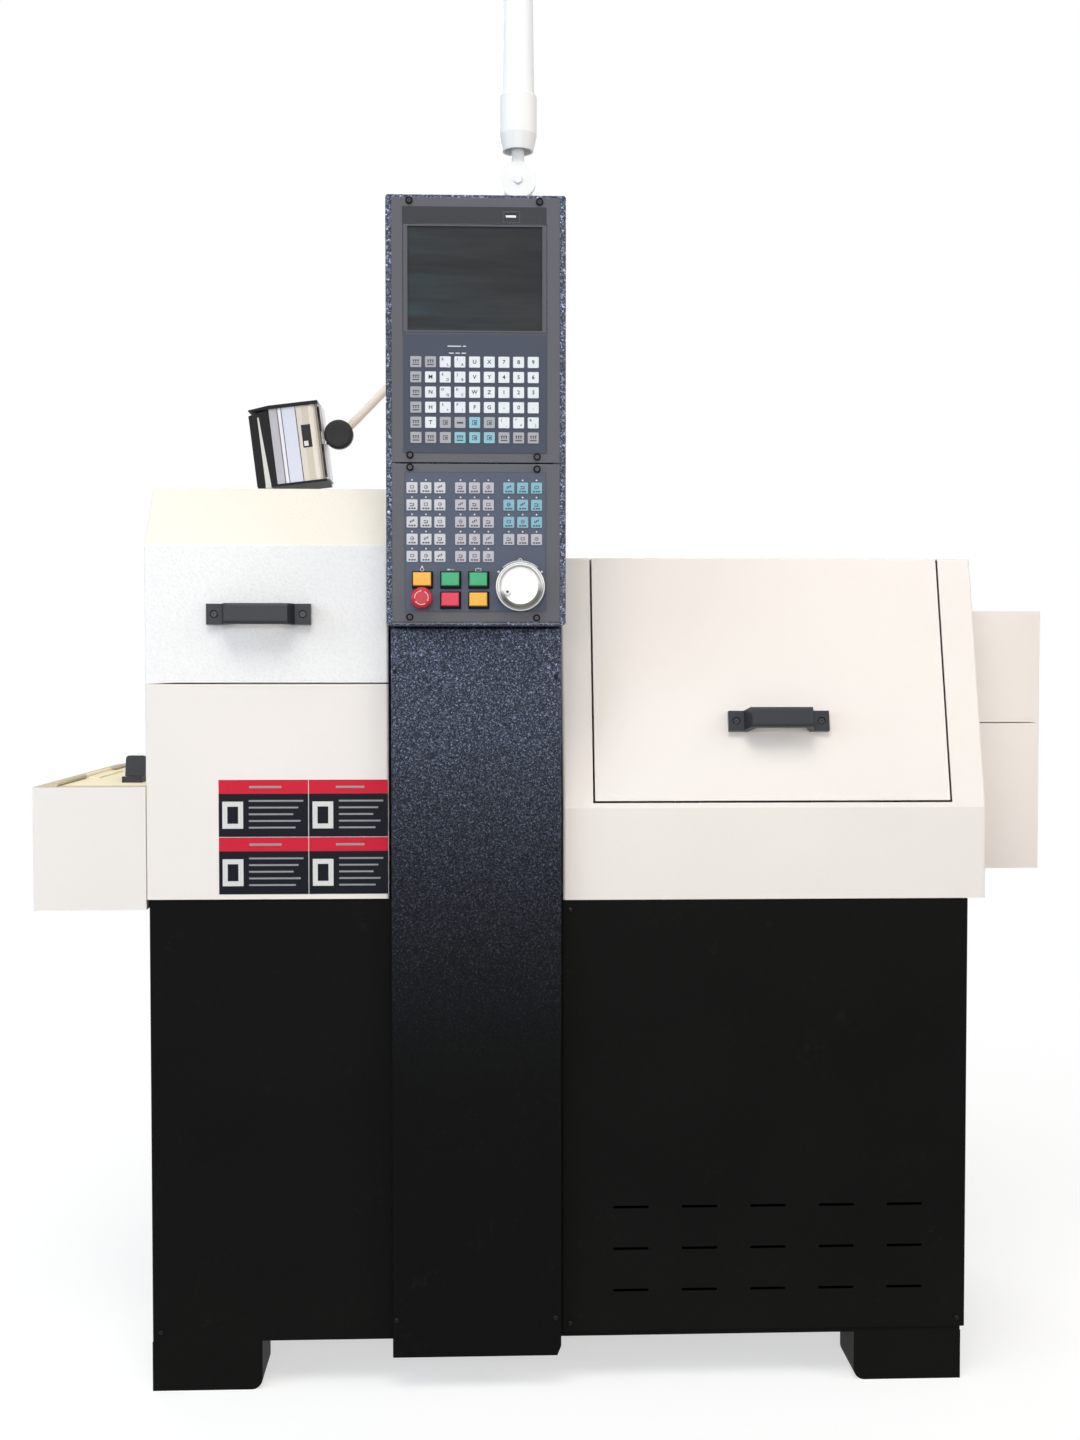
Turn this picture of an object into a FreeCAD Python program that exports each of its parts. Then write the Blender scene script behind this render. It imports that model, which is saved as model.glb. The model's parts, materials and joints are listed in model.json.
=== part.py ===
import FreeCAD, Part
import math
import os

# Small CNC turning lathe with a gang tool slide, on a sheet steel cabinet.
# X runs along the spindle to the right, Y from the front to the back, Z up from the floor.
# The model is drawn with x = 0 in the middle of the control column and y = 0 on the front
# of the cream covers, and is moved to the middle of its own footprint when it is written.
# All sizes are millimetres.

V = FreeCAD.Vector

# ---- sheet metal and general clearances ----
SHEET = 2.0
FACE_GAP = 0.3            # between two separate pieces that stand against each other
RUNNING_FIT = 0.04        # radial play of a shaft in its hole
BOLTED_FIT = 0.02         # radial play of a race or bush pressed in its seat
PANEL_GAP = 3.0           # visible seam round a lid or door

# ---- base cabinet ----
CABINET_LEFT = -460.0
CABINET_RIGHT = 697.0
CABINET_FRONT = 2.5
DEPTH = 600.0             # the covers' and cabinet's back, measured from the covers' front
CABINET_BOTTOM = 70.0
CABINET_TOP = 700.0
CABINET_WALL = 2.5
FOOT_WIDTH = 155.0
FOOT_DEPTH = 88.0
FOOT_CORNER = 16.0
ACCESS_LEFT = 122.0
ACCESS_OVERHANG = 5.0     # the access panel stands this far past the cabinet's side
ACCESS_BOTTOM = 77.0
ACCESS_TOP = 696.0
ACCESS_RETURN = 15.0
LOUVRE_COLUMNS = 5
LOUVRE_ROWS = 3
LOUVRE_LENGTH = 51.0
LOUVRE_HEIGHT = 4.0
LOUVRE_PITCH_X = 98.5
LOUVRE_PITCH_Z = 60.0
LOUVRE_FIRST_X = 219.5
LOUVRE_FIRST_Z = 136.0
SERVICE_BORDER = 18.0     # of the cabinet's front round the opening behind the access panel
TANK_HEIGHT = 240.0
TANK_NECK_RADIUS = 40.0
DRIVE_COUNT = 3
DRIVE_SIZE = (80.0, 147.5, 260.0)
DRIVE_PITCH = 110.0
DRIVE_FIRST = (230.0, 300.0)
DRIVE_FINS = 7
FIN_GAP = 5.0

# ---- column and control box ----
COLUMN_WIDTH = 238.0
COLUMN_FRONT = -20.0
COLUMN_BACK = 112.0
COLUMN_BOTTOM = 52.0
COLUMN_NOTCH = (6.0, 16.0)
BOX_WIDTH = 241.0
BOX_FRONT = -98.0
BOX_DEPTH = 178.0
BOX_BOTTOM = 1083.0
BOX_HEIGHT = 573.0
BOX_TOP = BOX_BOTTOM + BOX_HEIGHT
COLUMN_TOP = BOX_BOTTOM - 2.0
NECK_WIDTH = 200.0
NECK_DEPTH = 70.0
NECK_WALL = 10.0
NECK_SETBACK = 20.0       # from the column's front to the neck
PLATE_WIDTH = 225.0
PLATE_PROUD = 2.0         # the front plates stand this far in front of the box's rim
PLATE_SEAM = 1.5
PLATE_EDGE = 4.0          # from the box's top or bottom to the nearest plate
PLATE_LIP = 9.0           # width of the box's rim behind the plates' edges
PLATE_SOFTENING = 0.8
LOWER_PLATE_HEIGHT = 212.0
UPPER_PLATE_BOTTOM = BOX_BOTTOM + PLATE_EDGE + LOWER_PLATE_HEIGHT + PLATE_SEAM
SCREEN_SIZE = (180.0, 138.0)
SCREEN_BEZEL = (6.5, 3.0)             # width of the frame at the sides, at top and bottom
SCREEN_CENTRE = (-1.2, BOX_TOP - 111.0)
SCREEN_RECESS = 2.0
SCREEN_BODY = 30.0        # depth of the display module behind the plate
FILM_THICKNESS = 0.8
UPPER_FILM = ((-97.0, 95.0), (UPPER_PLATE_BOTTOM + 12.5, UPPER_PLATE_BOTTOM + 170.5))
LOWER_FILM = ((-96.0, 94.0), (BOX_BOTTOM + 18.0, BOX_BOTTOM + 205.0))
KEY_SIZE = 14.2
KEY_HEIGHT = 0.7
UPPER_KEYS = (9, 6)
UPPER_KEY_PITCH = (19.6, 20.1)
UPPER_KEY_FIRST = (-80.2, UPPER_PLATE_BOTTOM + 33.0)
LOWER_KEY_PITCH = (18.6, 22.9)
LOWER_KEY_ROWS = 5
LOWER_KEY_FIRST_Z = BOX_BOTTOM + 92.0
LOWER_KEY_GROUPS = ((-85.7, 5), (-20.8, 5), (43.8, 4))
BUTTON_SIZE = (24.0, 18.0)
BUTTON_TRAVEL = 3.0
BUTTON_PROUD = BUTTON_TRAVEL + 3.0    # a pressed cap still stands 3 mm proud
BUTTON_STEM = 22.0
BUTTON_PLAY = 0.4
BUTTON_SOFTENING = 1.5
BUTTON_ROWS = (BOX_BOTTOM + 61.5, BOX_BOTTOM + 34.5)
BUTTONS = {
    "button_orange_upper": (-72.5, BUTTON_ROWS[0]),
    "button_green_left": (-34.7, BUTTON_ROWS[0]),
    "button_green_right": (2.8, BUTTON_ROWS[0]),
    "button_red": (-35.1, BUTTON_ROWS[1]),
    "button_orange_lower": (2.8, BUTTON_ROWS[1]),
}
ESTOP_CENTRE = (-72.8, BOX_BOTTOM + 36.0)
ESTOP_RADIUS = 15.0
ESTOP_STEM_RADIUS = 8.0
ESTOP_REACH = 19.0
ESTOP_CAP = 12.0
ESTOP_ROUND = 6.0
DIAL_CENTRE = (59.0, BOX_BOTTOM + 51.5)
DIAL_RADIUS = 33.0
DIAL_THICKNESS = 11.0
DIAL_STAND = 2.0
DIAL_SHAFT_RADIUS = 4.0
DIAL_DISH = 2.0           # depth of the dial's dished face
KNOB_OFFSET = (-0.533 * DIAL_RADIUS, -0.236 * DIAL_RADIUS)
KNOB_RADIUS = 5.0
KNOB_LENGTH = 17.0
KNOB_PIN_RADIUS = 2.0

# ---- headstock side (left) ----
HEAD_LEFT = -463.0
HEAD_RIGHT = -123.5
HEAD_SPLIT = 1003.0
HEAD_FRONT_TOP = 1197.0
HEAD_TOP = 1283.0
HEAD_SLANT_DEPTH = 68.0
LID_HINGE_Y = 330.0
SHEET_BEND = 4.0
RIM = 14.0

# ---- work area (right) ----
WORK_LEFT = 122.0
WORK_RIGHT = 727.0
WORK_BOTTOM = 697.0
APRON_TOP = 827.0
WORK_TOP = 1186.0
WORK_SLANT_DEPTH = 90.0
DOOR_LEFT = 168.0
DOOR_RIGHT = 676.0
DOOR_BOTTOM = 837.0
DOOR_PAN = 18.0
DOOR_HINGE_Y = 330.0
SLANT = math.degrees(math.atan2(WORK_SLANT_DEPTH, WORK_TOP - APRON_TOP))

# ---- end boxes ----
END_BOX_LEFT = -620.0
END_BOX_BACK = 520.0
END_BOX_BOTTOM = 686.0
END_BOX_TOP = 859.0
END_FLANGE = 30.0
END_LID_SKIRT = 12.0
COVER_FRONT = 170.0
COVER_BACK = 520.0
LOWER_COVER = (718.0, 941.0)
UPPER_COVER = (942.5, 1112.0)
COVER_RIGHT = 862.0

# ---- bridge handles ----
HANDLE_LENGTH = 145.0
HANDLE_WIDTH = 29.0
HANDLE_STAND = 38.0
HANDLE_BAR = 11.0
HANDLE_FOOT = 22.0
HANDLE_SLOPE = 12.0
HANDLE_FOOT_HEIGHT = 9.0
HANDLE_ROUND = 5.0        # along the grip's front edges
HANDLE_SCREW = 5.4
HANDLE_POCKET = (11.0, 4.0)           # diameter and depth of the screws' counterbores
LID_HANDLE = (-303.5, 1100.5)
DOOR_HANDLE = (433.0, 948.0)
END_HANDLE = (-500.0, 158.0)

# ---- hinges: radius of pin and knuckles, the pin's height over the sheet, a knuckle's length ----
COVER_HINGE = (2.5, 5.0, 5.6, 24.0)
END_HINGE = (1.5, 3.0, 3.4, 165.0)    # one long hinge all along the end box's lid
HINGE_LEAF = 2.0
HINGE_REACH = 22.0

# ---- spindle train ----
SPINDLE_Y = 250.0
SPINDLE_Z = 900.0
SPINDLE_RADIUS = 30.0
SPINDLE_BORE = 15.0
SPINDLE_SEAT_STEP = 3.0   # the pulley's seat is this much smaller in radius
SPINDLE_NOSE = 14.0       # length and rise of the nose flange
SPINDLE_SPAN = (-425.0, 150.0)
HEADSTOCK_SPAN = (-300.0, 100.0)
HEADSTOCK_HALF_WIDTH = 85.0
HEADSTOCK_TOP = 985.0
HEADSTOCK_FLANGE = (35.0, 20.0)       # reach and height of the foot on the bed
HEADSTOCK_DRAFT = 6.0
HEADSTOCK_ARCH = 45.0
HEADSTOCK_CAP = 8.0       # from the casting's ends to its bearing seats
BEARING_OUTER = 48.0
BEARING_LENGTH = 45.0
CHUCK_SPAN = (150.5, 215.0)
CHUCK_RADIUS = 52.0
CHUCK_TAPER = (26.0, 14.0)            # length and fall of the nose's taper
CHUCK_CHAMFER = (8.0, 4.0)
COLLET_RADIUS = 24.0
COLLET_SLITS = 3
COLLET_SLIT = (40.0, 1.6)             # length and width
SPINDLE_PULLEY_RADIUS = 60.0
MOTOR_PULLEY_RADIUS = 40.0
PULLEY_SPAN = (-405.0, -360.0)
PULLEY_RIBS = 3
PULLEY_FLANGE = (3.0, 6.0)            # thickness and rise
PULLEY_GROOVE = 2.0
BELT_WIDTH = 34.0
BELT_THICKNESS = 5.0
MOTOR_Z = 772.0
MOTOR_SIDE = 130.0
MOTOR_LENGTH = 140.0
MOTOR_SHAFT = 11.0
MOTOR_BORE_DEPTH = 30.0
MOTOR_FLUTE_DEPTH = 3.0

# ---- bed and slides ----
BED_SPAN = (-330.0, 690.0)
BED_Y = (120.0, 420.0)
BED_TOP = 775.0
BED_WALL = 25.0
BED_POCKETS = 5
BED_ROUND = 8.0
RAIL_WIDTH = 20.0
RAIL_HEIGHT = 18.0
RAIL_WAIST = 3.0          # how far a rail's sides are drawn in, between the three heights
RAIL_WAIST_HEIGHTS = (5.0, 8.0, 11.0, 14.0)
Z_TRAVEL = 100.0          # of the saddle, each way from the middle
X_TRAVEL = 60.0           # of the cross slide, each way from the middle
SADDLE_X = (330.0, 500.0)
SLIDE_Y = (190.0, 350.0)
Z_RAIL_Y = (175.0, 365.0)
Z_RAIL_SPAN = (SADDLE_X[0] - Z_TRAVEL - 45.0, SADDLE_X[1] + Z_TRAVEL + 65.0)
X_RAIL_X = (358.0, 472.0)
X_RAIL_SPAN = (SLIDE_Y[0] - X_TRAVEL - 5.0, SLIDE_Y[1] + X_TRAVEL + 15.0)
Z_SCREW_Y = 270.0
Z_SCREW_Z = 798.0
Z_SCREW_RADIUS = 8.0
Z_SCREW_JOURNAL = 6.0
Z_SUPPORTS = ((140.0, 162.0), (668.0, 690.0))
Z_SUPPORT_SIZE = (44.0, 39.0)         # width and height
SADDLE_BOTTOM = 816.0
SADDLE_TOP = 838.0
RUNNER_LENGTH = 48.0
RUNNER_WIDTH = 40.0
RUNNER_GAP = 4.0          # under the runner blocks
SADDLE_OVERHANG = 8.0     # behind the bed, for the X motor
Z_NUT_SIZE = (46.0, 36.0)
X_BRACKET = (30.0, 10.0, 8.0)         # front bracket: width, thickness, height over the screw
X_MOTOR_PLATE = (66.0, 12.0, 32.0)    # back bracket, the same way
X_SCREW_RADIUS = 6.0
X_SCREW_Z = 853.0
SLIDE_BOTTOM = 862.0
SLIDE_TOP = 880.0
SLIDE_INSET = 6.0         # from the saddle's ends
X_NUT_SIZE = (30.0, 36.0)
SLOT_FROM_EDGE = (20.0, 50.0)
SLOT_WIDTHS = (8.0, 14.0)
SLOT_DEPTHS = (8.0, 12.0)
SERVO_SIDE = 60.0
SERVO_LENGTH = 118.0
TOOL_SHANK = 16.0
TOOL_COUNT = 3
TOOL_PITCH = 50.0
HOLDER_SIZE = (80.0, 36.0)
HOLDER_INSET = 8.0        # from the saddle's end
HOLDER_OVER = 16.0        # above the shank
HOLDER_SCREW_PITCH = 20.0
HOLDER_SCREWS = 3

# ---- work lamp ----
LAMP_Y = 430.0
LAMP_BASE = (60.0, WORK_TOP)
LAMP_BASE_RADIUS = 32.0
LAMP_ELBOW = (-20.0, 1620.0)
LAMP_PIVOT = (-226.0, 1408.0)
LAMP_ROD = 7.5
LAMP_HUB_RADIUS = 17.0
LAMP_HUB_LENGTH = 18.0
LAMP_SOCKET = (18.0, 24.0)            # outer radius and height of the base's socket
LAMP_COLLAR = (15.0, 26.0)            # radius and height of the lower arm's collar
LAMP_FLANGE = 6.0
LAMP_BOLT_RADIUS = 5.0
LAMP_POST_RADIUS = 8.0
LAMP_KNOB_RADIUS = 21.0
LAMP_TILT = 7.0
LAMP_HEAD = (118.0, 92.0, 122.0)
LAMP_HEAD_OFFSET = (-80.0, -20.0)     # from the pivot to the head's middle
LAMP_WALL = 3.0
LAMP_SHOULDER = (33.0, 7.0)           # length and fall of the sloped top over its front part
LAMP_GROOVES = (-26.0, -12.0, -5.5, 17.5)
LAMP_GROOVE_WIDTH = 2.0
LAMP_CAPS = (6.0, 4.0)                # thickness of the top and the bottom end plate
LAMP_CAP_SPAN = (-58.0, 55.0)

# ---- tower light ----
TOWER_X = 58.0
TOWER_Y = -20.0
TOWER_HINGE_Z = BOX_TOP + 42.0
TOWER_DISC_RADIUS = 25.0
TOWER_DISC_LENGTH = 18.4
TOWER_NECK_RADIUS = 8.9
TOWER_EAR = 10.0          # thickness of the foot's ear behind the disc
TOWER_PLATE = (62.0, 52.0, 5.0)
CUP_BOTTOM = BOX_TOP + 82.0
CUP_TOP = BOX_TOP + 158.0
CUP_RADIUS = 26.2
CUP_WALL = 2.5
LENS_RADIUS = 22.6
LENS_TOP_RADIUS = 20.7
LENS_TOP = BOX_TOP + 302.0


# ======== drawing helpers ========

def block(x, y, z):
    """A box from its three (low, high) spans."""
    return Part.makeBox(x[1] - x[0], y[1] - y[0], z[1] - z[0], V(x[0], y[0], z[0]))


def around(middle, size):
    """The (low, high) span of a size centred on a middle."""
    return (middle - size / 2, middle + size / 2)


def prism(points, direction):
    """A closed outline of vectors pulled along a direction."""
    return Part.Face(Part.makePolygon(points + points[:1])).extrude(direction)


def prism_x(points, x):
    """A (y, z) outline pulled along X over a span."""
    return prism([V(x[0], y, z) for y, z in points], V(x[1] - x[0], 0, 0))


def prism_y(points, y):
    """An (x, z) outline pulled along Y over a span."""
    return prism([V(px, y[0], pz) for px, pz in points], V(0, y[1] - y[0], 0))


def rod_x(radius, x, y, z):
    """A round bar along X over the span x."""
    return Part.makeCylinder(radius, x[1] - x[0], V(x[0], y, z), V(1, 0, 0))


def rod_y(radius, y, x, z):
    """A round bar along Y over the span y."""
    return Part.makeCylinder(radius, y[1] - y[0], V(x, y[0], z), V(0, 1, 0))


def rod_z(radius, z, x, y):
    """A round bar along Z over the span z."""
    return Part.makeCylinder(radius, z[1] - z[0], V(x, y, z[0]), V(0, 0, 1))


def turned(profile, base, direction):
    """A (along, radius) outline revolved about the line through base along direction."""
    along = V(*direction)
    across = V(0, 0, 1) if abs(along.z) < 0.5 else V(1, 0, 0)
    points = [base + along * a + across * r for a, r in profile]
    return Part.Face(Part.makePolygon(points + points[:1])).revolve(base, along, 360)


def joined(shapes):
    """One solid from pieces that overlap or share faces."""
    return shapes[0].fuse(shapes[1:]).removeSplitter()


def group(shapes):
    """Separate solids of one kind, kept in one node."""
    return Part.makeCompound(shapes)


def softened(shape, radius, chosen):
    """The shape with a round on every edge whose middle passes the test chosen(point)."""
    edges = [e for e in shape.Edges if chosen(e.CenterOfMass)]
    return shape.makeFillet(radius, edges)


def inset(points, distances):
    """An outline with each side moved inwards by its own distance (negative is outwards)."""
    count = len(points)
    area = sum(points[i][0] * points[(i + 1) % count][1] - points[(i + 1) % count][0] * points[i][1]
               for i in range(count))
    turn = 1.0 if area > 0 else -1.0
    lines = []
    for i in range(count):
        (ax, ay), (bx, by) = points[i], points[(i + 1) % count]
        length = math.hypot(bx - ax, by - ay)
        nx, ny = -(by - ay) / length * turn, (bx - ax) / length * turn
        lines.append((nx, ny, nx * ax + ny * ay + distances[i]))
    corners = []
    for i in range(count):
        (a, b, c), (d, e, f) = lines[i - 1], lines[i]
        det = a * e - b * d
        corners.append(((c * e - b * f) / det, (a * f - c * d) / det))
    return corners


# ======== base cabinet ========

def base_cabinet():
    """Closed sheet cabinet with one large service opening behind the access panel."""
    body = block((CABINET_LEFT, CABINET_RIGHT), (CABINET_FRONT, DEPTH), (CABINET_BOTTOM, CABINET_TOP))
    body = softened(body, SHEET_BEND, lambda p: abs(p.z - (CABINET_BOTTOM + CABINET_TOP) / 2) < 1)
    hollow = block((CABINET_LEFT + CABINET_WALL, CABINET_RIGHT - CABINET_WALL),
                   (CABINET_FRONT + CABINET_WALL, DEPTH - CABINET_WALL),
                   (CABINET_BOTTOM + CABINET_WALL, CABINET_TOP - CABINET_WALL))
    service = block((ACCESS_LEFT + SERVICE_BORDER, CABINET_RIGHT - SERVICE_BORDER),
                    (CABINET_FRONT - 1, CABINET_FRONT + 5),
                    (ACCESS_BOTTOM + SERVICE_BORDER, ACCESS_TOP - SERVICE_BORDER))
    return body.cut(hollow).cut(service)


def front_access_panel():
    """Louvred front panel, folded back over the cabinet's right side."""
    right = CABINET_RIGHT + ACCESS_OVERHANG
    skin = block((ACCESS_LEFT, right), (0, ACCESS_RETURN), (ACCESS_BOTTOM, ACCESS_TOP))
    skin = softened(skin, SHEET, lambda p: p.y < 1 and p.x > right - 1)
    behind = block((ACCESS_LEFT - 1, right - SHEET), (SHEET, ACCESS_RETURN + 1), (0, CABINET_TOP + 1))
    panel = skin.cut(behind)
    slots = []
    for column in range(LOUVRE_COLUMNS):
        for row in range(LOUVRE_ROWS):
            x = LOUVRE_FIRST_X + column * LOUVRE_PITCH_X
            z = LOUVRE_FIRST_Z + row * LOUVRE_PITCH_Z
            half = (LOUVRE_LENGTH - LOUVRE_HEIGHT) / 2
            slots.append(block((x - half, x + half), (-1, 5), around(z, LOUVRE_HEIGHT)))
            slots += [rod_y(LOUVRE_HEIGHT / 2, (-1, 5), end, z) for end in (x - half, x + half)]
    return panel.cut(slots)


def plinth_feet():
    """Four folded feet under the corners, each with its inner lower corner rounded."""
    feet = []
    for x in ((CABINET_LEFT, CABINET_LEFT + FOOT_WIDTH), (CABINET_RIGHT - FOOT_WIDTH, CABINET_RIGHT)):
        inner = x[1] if x[0] == CABINET_LEFT else x[0]
        for y in ((CABINET_FRONT, CABINET_FRONT + FOOT_DEPTH), (DEPTH - FOOT_DEPTH, DEPTH)):
            foot = block(x, y, (0, CABINET_BOTTOM))
            feet.append(softened(foot, FOOT_CORNER, lambda p: p.z < 1 and abs(p.x - inner) < 1))
    return group(feet)


def coolant_tank():
    """Closed coolant tank on the cabinet's floor, with a raised filler neck."""
    floor = CABINET_BOTTOM + CABINET_WALL
    top = floor + TANK_HEIGHT
    x = (CABINET_LEFT + 30, -COLUMN_WIDTH / 2 - 20)
    tank = softened(block(x, (70, DEPTH - 60), (floor, top)), 20, lambda p: floor + 1 < p.z < top - 1)
    neck = rod_z(TANK_NECK_RADIUS, (top - 1, top + 22), along(x, 0.4), along((0, DEPTH), 1 / 3))
    return joined([tank, neck])


def servo_drives():
    """Three drive modules with cooling fins, side by side on the cabinet's back wall."""
    wide, deep, tall = DRIVE_SIZE
    back = DEPTH - CABINET_WALL
    z = (DRIVE_FIRST[1], DRIVE_FIRST[1] + tall)
    modules = []
    for place in range(DRIVE_COUNT):
        left = DRIVE_FIRST[0] + place * DRIVE_PITCH
        module = block((left, left + wide), (back - deep, back), z)
        starts = [left + 6 + fin * 2 * FIN_GAP for fin in range(DRIVE_FINS)]
        gaps = [block((start, start + FIN_GAP), (back - deep - 1, back - deep + 12), (z[0] + 10, z[1] - 10))
                for start in starts]
        modules.append(module.cut(gaps))
    return group(modules)


# ======== column and control box ========

def column_cover():
    """Folded cover in front of the cabinet, deeper above it where it carries the control box."""
    side = [(COLUMN_FRONT, COLUMN_BOTTOM), (COLUMN_FRONT, COLUMN_TOP), (COLUMN_BACK, COLUMN_TOP),
            (COLUMN_BACK, CABINET_TOP + 1), (CABINET_FRONT - FACE_GAP, CABINET_TOP + 1),
            (CABINET_FRONT - FACE_GAP, COLUMN_BOTTOM)]
    half = COLUMN_WIDTH / 2
    outer = prism_x(side, (-half, half))
    outer = softened(outer, SHEET, lambda p: p.y < COLUMN_FRONT + 1 and p.z > COLUMN_BOTTOM + 1)
    inner = prism_x(inset(side, [SHEET, SHEET, -5, -5, -5, SHEET]), (-half + SHEET, half - SHEET))
    wide, tall = COLUMN_NOTCH
    low = COLUMN_BOTTOM - 1
    notch = prism_y([(half + 1, low), (half - wide, low), (half + 1, COLUMN_BOTTOM + tall)],
                    (COLUMN_FRONT - 1, CABINET_FRONT))
    return outer.cut(inner).cut(notch)


def panel_housing():
    """Control box: a deep folded tray, open at the front, on a short neck."""
    half = BOX_WIDTH / 2
    back = BOX_FRONT + BOX_DEPTH
    outer = block((-half, half), (BOX_FRONT, back), (BOX_BOTTOM, BOX_TOP))
    outer = softened(outer, SHEET_BEND, lambda p: BOX_FRONT + 1 < p.y < back - 1)
    inner = block((-half + SHEET, half - SHEET), (BOX_FRONT + SHEET, back - SHEET),
                  (BOX_BOTTOM + SHEET, BOX_TOP - SHEET))
    rim = PLATE_EDGE + PLATE_LIP
    mouth = block(around(0, PLATE_WIDTH - 2 * PLATE_LIP), (BOX_FRONT - 1, BOX_FRONT + 5),
                  (BOX_BOTTOM + rim, BOX_TOP - rim))
    front = COLUMN_FRONT + NECK_SETBACK
    neck = block(around(0, NECK_WIDTH), (front, front + NECK_DEPTH), (COLUMN_TOP, BOX_BOTTOM + SHEET))
    passage = block(around(0, NECK_WIDTH - 2 * NECK_WALL),
                    (front + NECK_WALL, front + NECK_DEPTH - NECK_WALL),
                    (COLUMN_TOP - 1, BOX_BOTTOM + SHEET + 1))
    return joined([outer.cut(inner).cut(mouth), neck]).cut(passage)


def front_plate(z):
    """A control plate over the heights z, its edges softened."""
    back = BOX_FRONT
    plate = block(around(0, PLATE_WIDTH), (back - PLATE_PROUD, back), z)
    return softened(plate, PLATE_SOFTENING, lambda p: p.y < back - PLATE_PROUD + 0.1)


def plate_front():
    """The y of the control plates' front face."""
    return BOX_FRONT - PLATE_PROUD


def button_hole(centre):
    """The cut a push button's cap needs in film and plate."""
    wide, tall = BUTTON_SIZE
    return block(around(centre[0], wide + 2 * BUTTON_PLAY), (BOX_FRONT - 10, BOX_FRONT + 10),
                 around(centre[1], tall + 2 * BUTTON_PLAY))


def control_holes():
    """Cuts for the buttons, the emergency stop's stem and the dial's shaft."""
    holes = [button_hole(centre) for centre in BUTTONS.values()]
    deep = (BOX_FRONT - 10, BOX_FRONT + 10)
    holes.append(rod_y(ESTOP_STEM_RADIUS + BUTTON_PLAY, deep, *ESTOP_CENTRE))
    holes.append(rod_y(DIAL_SHAFT_RADIUS + RUNNING_FIT, deep, *DIAL_CENTRE))
    return holes


def screen_frame(gap):
    """The display frame's outer spans across and up, drawn in by a gap."""
    return tuple(around(middle, size + 2 * (frame - gap))
                 for middle, size, frame in zip(SCREEN_CENTRE, SCREEN_SIZE, SCREEN_BEZEL))


def upper_panel_plate():
    """Plate round the display, recessed for it."""
    plate = front_plate((UPPER_PLATE_BOTTOM, BOX_TOP - PLATE_EDGE))
    x, z = screen_frame(0.0)
    return plate.cut(block(x, (BOX_FRONT - 10, BOX_FRONT + 1), z))


def lower_panel_plate():
    """Plate that carries the operator's keys, buttons and dial."""
    low = BOX_BOTTOM + PLATE_EDGE
    return front_plate((low, low + LOWER_PLATE_HEIGHT)).cut(control_holes())


def display_screen():
    """Display module: a bezel with the screen set back in it, its body behind the plate."""
    front = plate_front()
    x, z = screen_frame(FACE_GAP)
    bezel = block(x, (front, BOX_FRONT + SCREEN_BODY), z)
    window = block(around(SCREEN_CENTRE[0], SCREEN_SIZE[0]), (front - 1, front + SCREEN_RECESS),
                   around(SCREEN_CENTRE[1], SCREEN_SIZE[1]))
    return softened(bezel, 1.0, lambda p: p.y < front + 0.1).cut(window)


def key_row_film(span_x, span_z, keys):
    """A keypad film over two spans, with a raised pad at each key centre."""
    front = plate_front()
    film = block(span_x, (front - FILM_THICKNESS, front), span_z)
    pads = [block(around(x, KEY_SIZE), (front - FILM_THICKNESS - KEY_HEIGHT, front - FILM_THICKNESS / 2),
                  around(z, KEY_SIZE)) for x, z in keys]
    return film.fuse(pads)


def upper_key_centres():
    """Key centres of the data entry field, row by row from the bottom."""
    columns, rows = UPPER_KEYS
    return [(UPPER_KEY_FIRST[0] + c * UPPER_KEY_PITCH[0], UPPER_KEY_FIRST[1] + r * UPPER_KEY_PITCH[1])
            for r in range(rows) for c in range(columns)]


def lower_key_centres():
    """Key centres of the three operator groups, each filled from the top row down."""
    top = LOWER_KEY_FIRST_Z + (LOWER_KEY_ROWS - 1) * LOWER_KEY_PITCH[1]
    return [(left + c * LOWER_KEY_PITCH[0], top - r * LOWER_KEY_PITCH[1])
            for left, rows in LOWER_KEY_GROUPS for r in range(rows) for c in range(3)]


def keypad_films():
    """The two membrane keypads stuck on the plates."""
    upper = key_row_film(*UPPER_FILM, upper_key_centres())
    lower = key_row_film(*LOWER_FILM, lower_key_centres())
    return group([upper, lower.cut(control_holes())])


def push_button(centre):
    """Rectangular push button: a crowned cap that slides in the plate."""
    wide, tall = BUTTON_SIZE
    front = plate_front() - FILM_THICKNESS - BUTTON_PROUD
    cap = block(around(centre[0], wide), (front, BOX_FRONT + BUTTON_STEM), around(centre[1], tall))
    return softened(cap, BUTTON_SOFTENING, lambda p: p.y < front + 0.1)


def emergency_stop():
    """Mushroom head on a round stem, turned in one piece."""
    front = plate_front() - ESTOP_REACH
    back = BOX_FRONT + BUTTON_STEM
    outline = [(front, 0), (front, ESTOP_RADIUS), (front + ESTOP_CAP, ESTOP_RADIUS - 1),
               (front + ESTOP_CAP, ESTOP_STEM_RADIUS), (back, ESTOP_STEM_RADIUS), (back, 0)]
    head = turned(outline, V(ESTOP_CENTRE[0], 0, ESTOP_CENTRE[1]), (0, 1, 0))
    return softened(head, ESTOP_ROUND, lambda p: p.y < front + 0.1)


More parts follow.
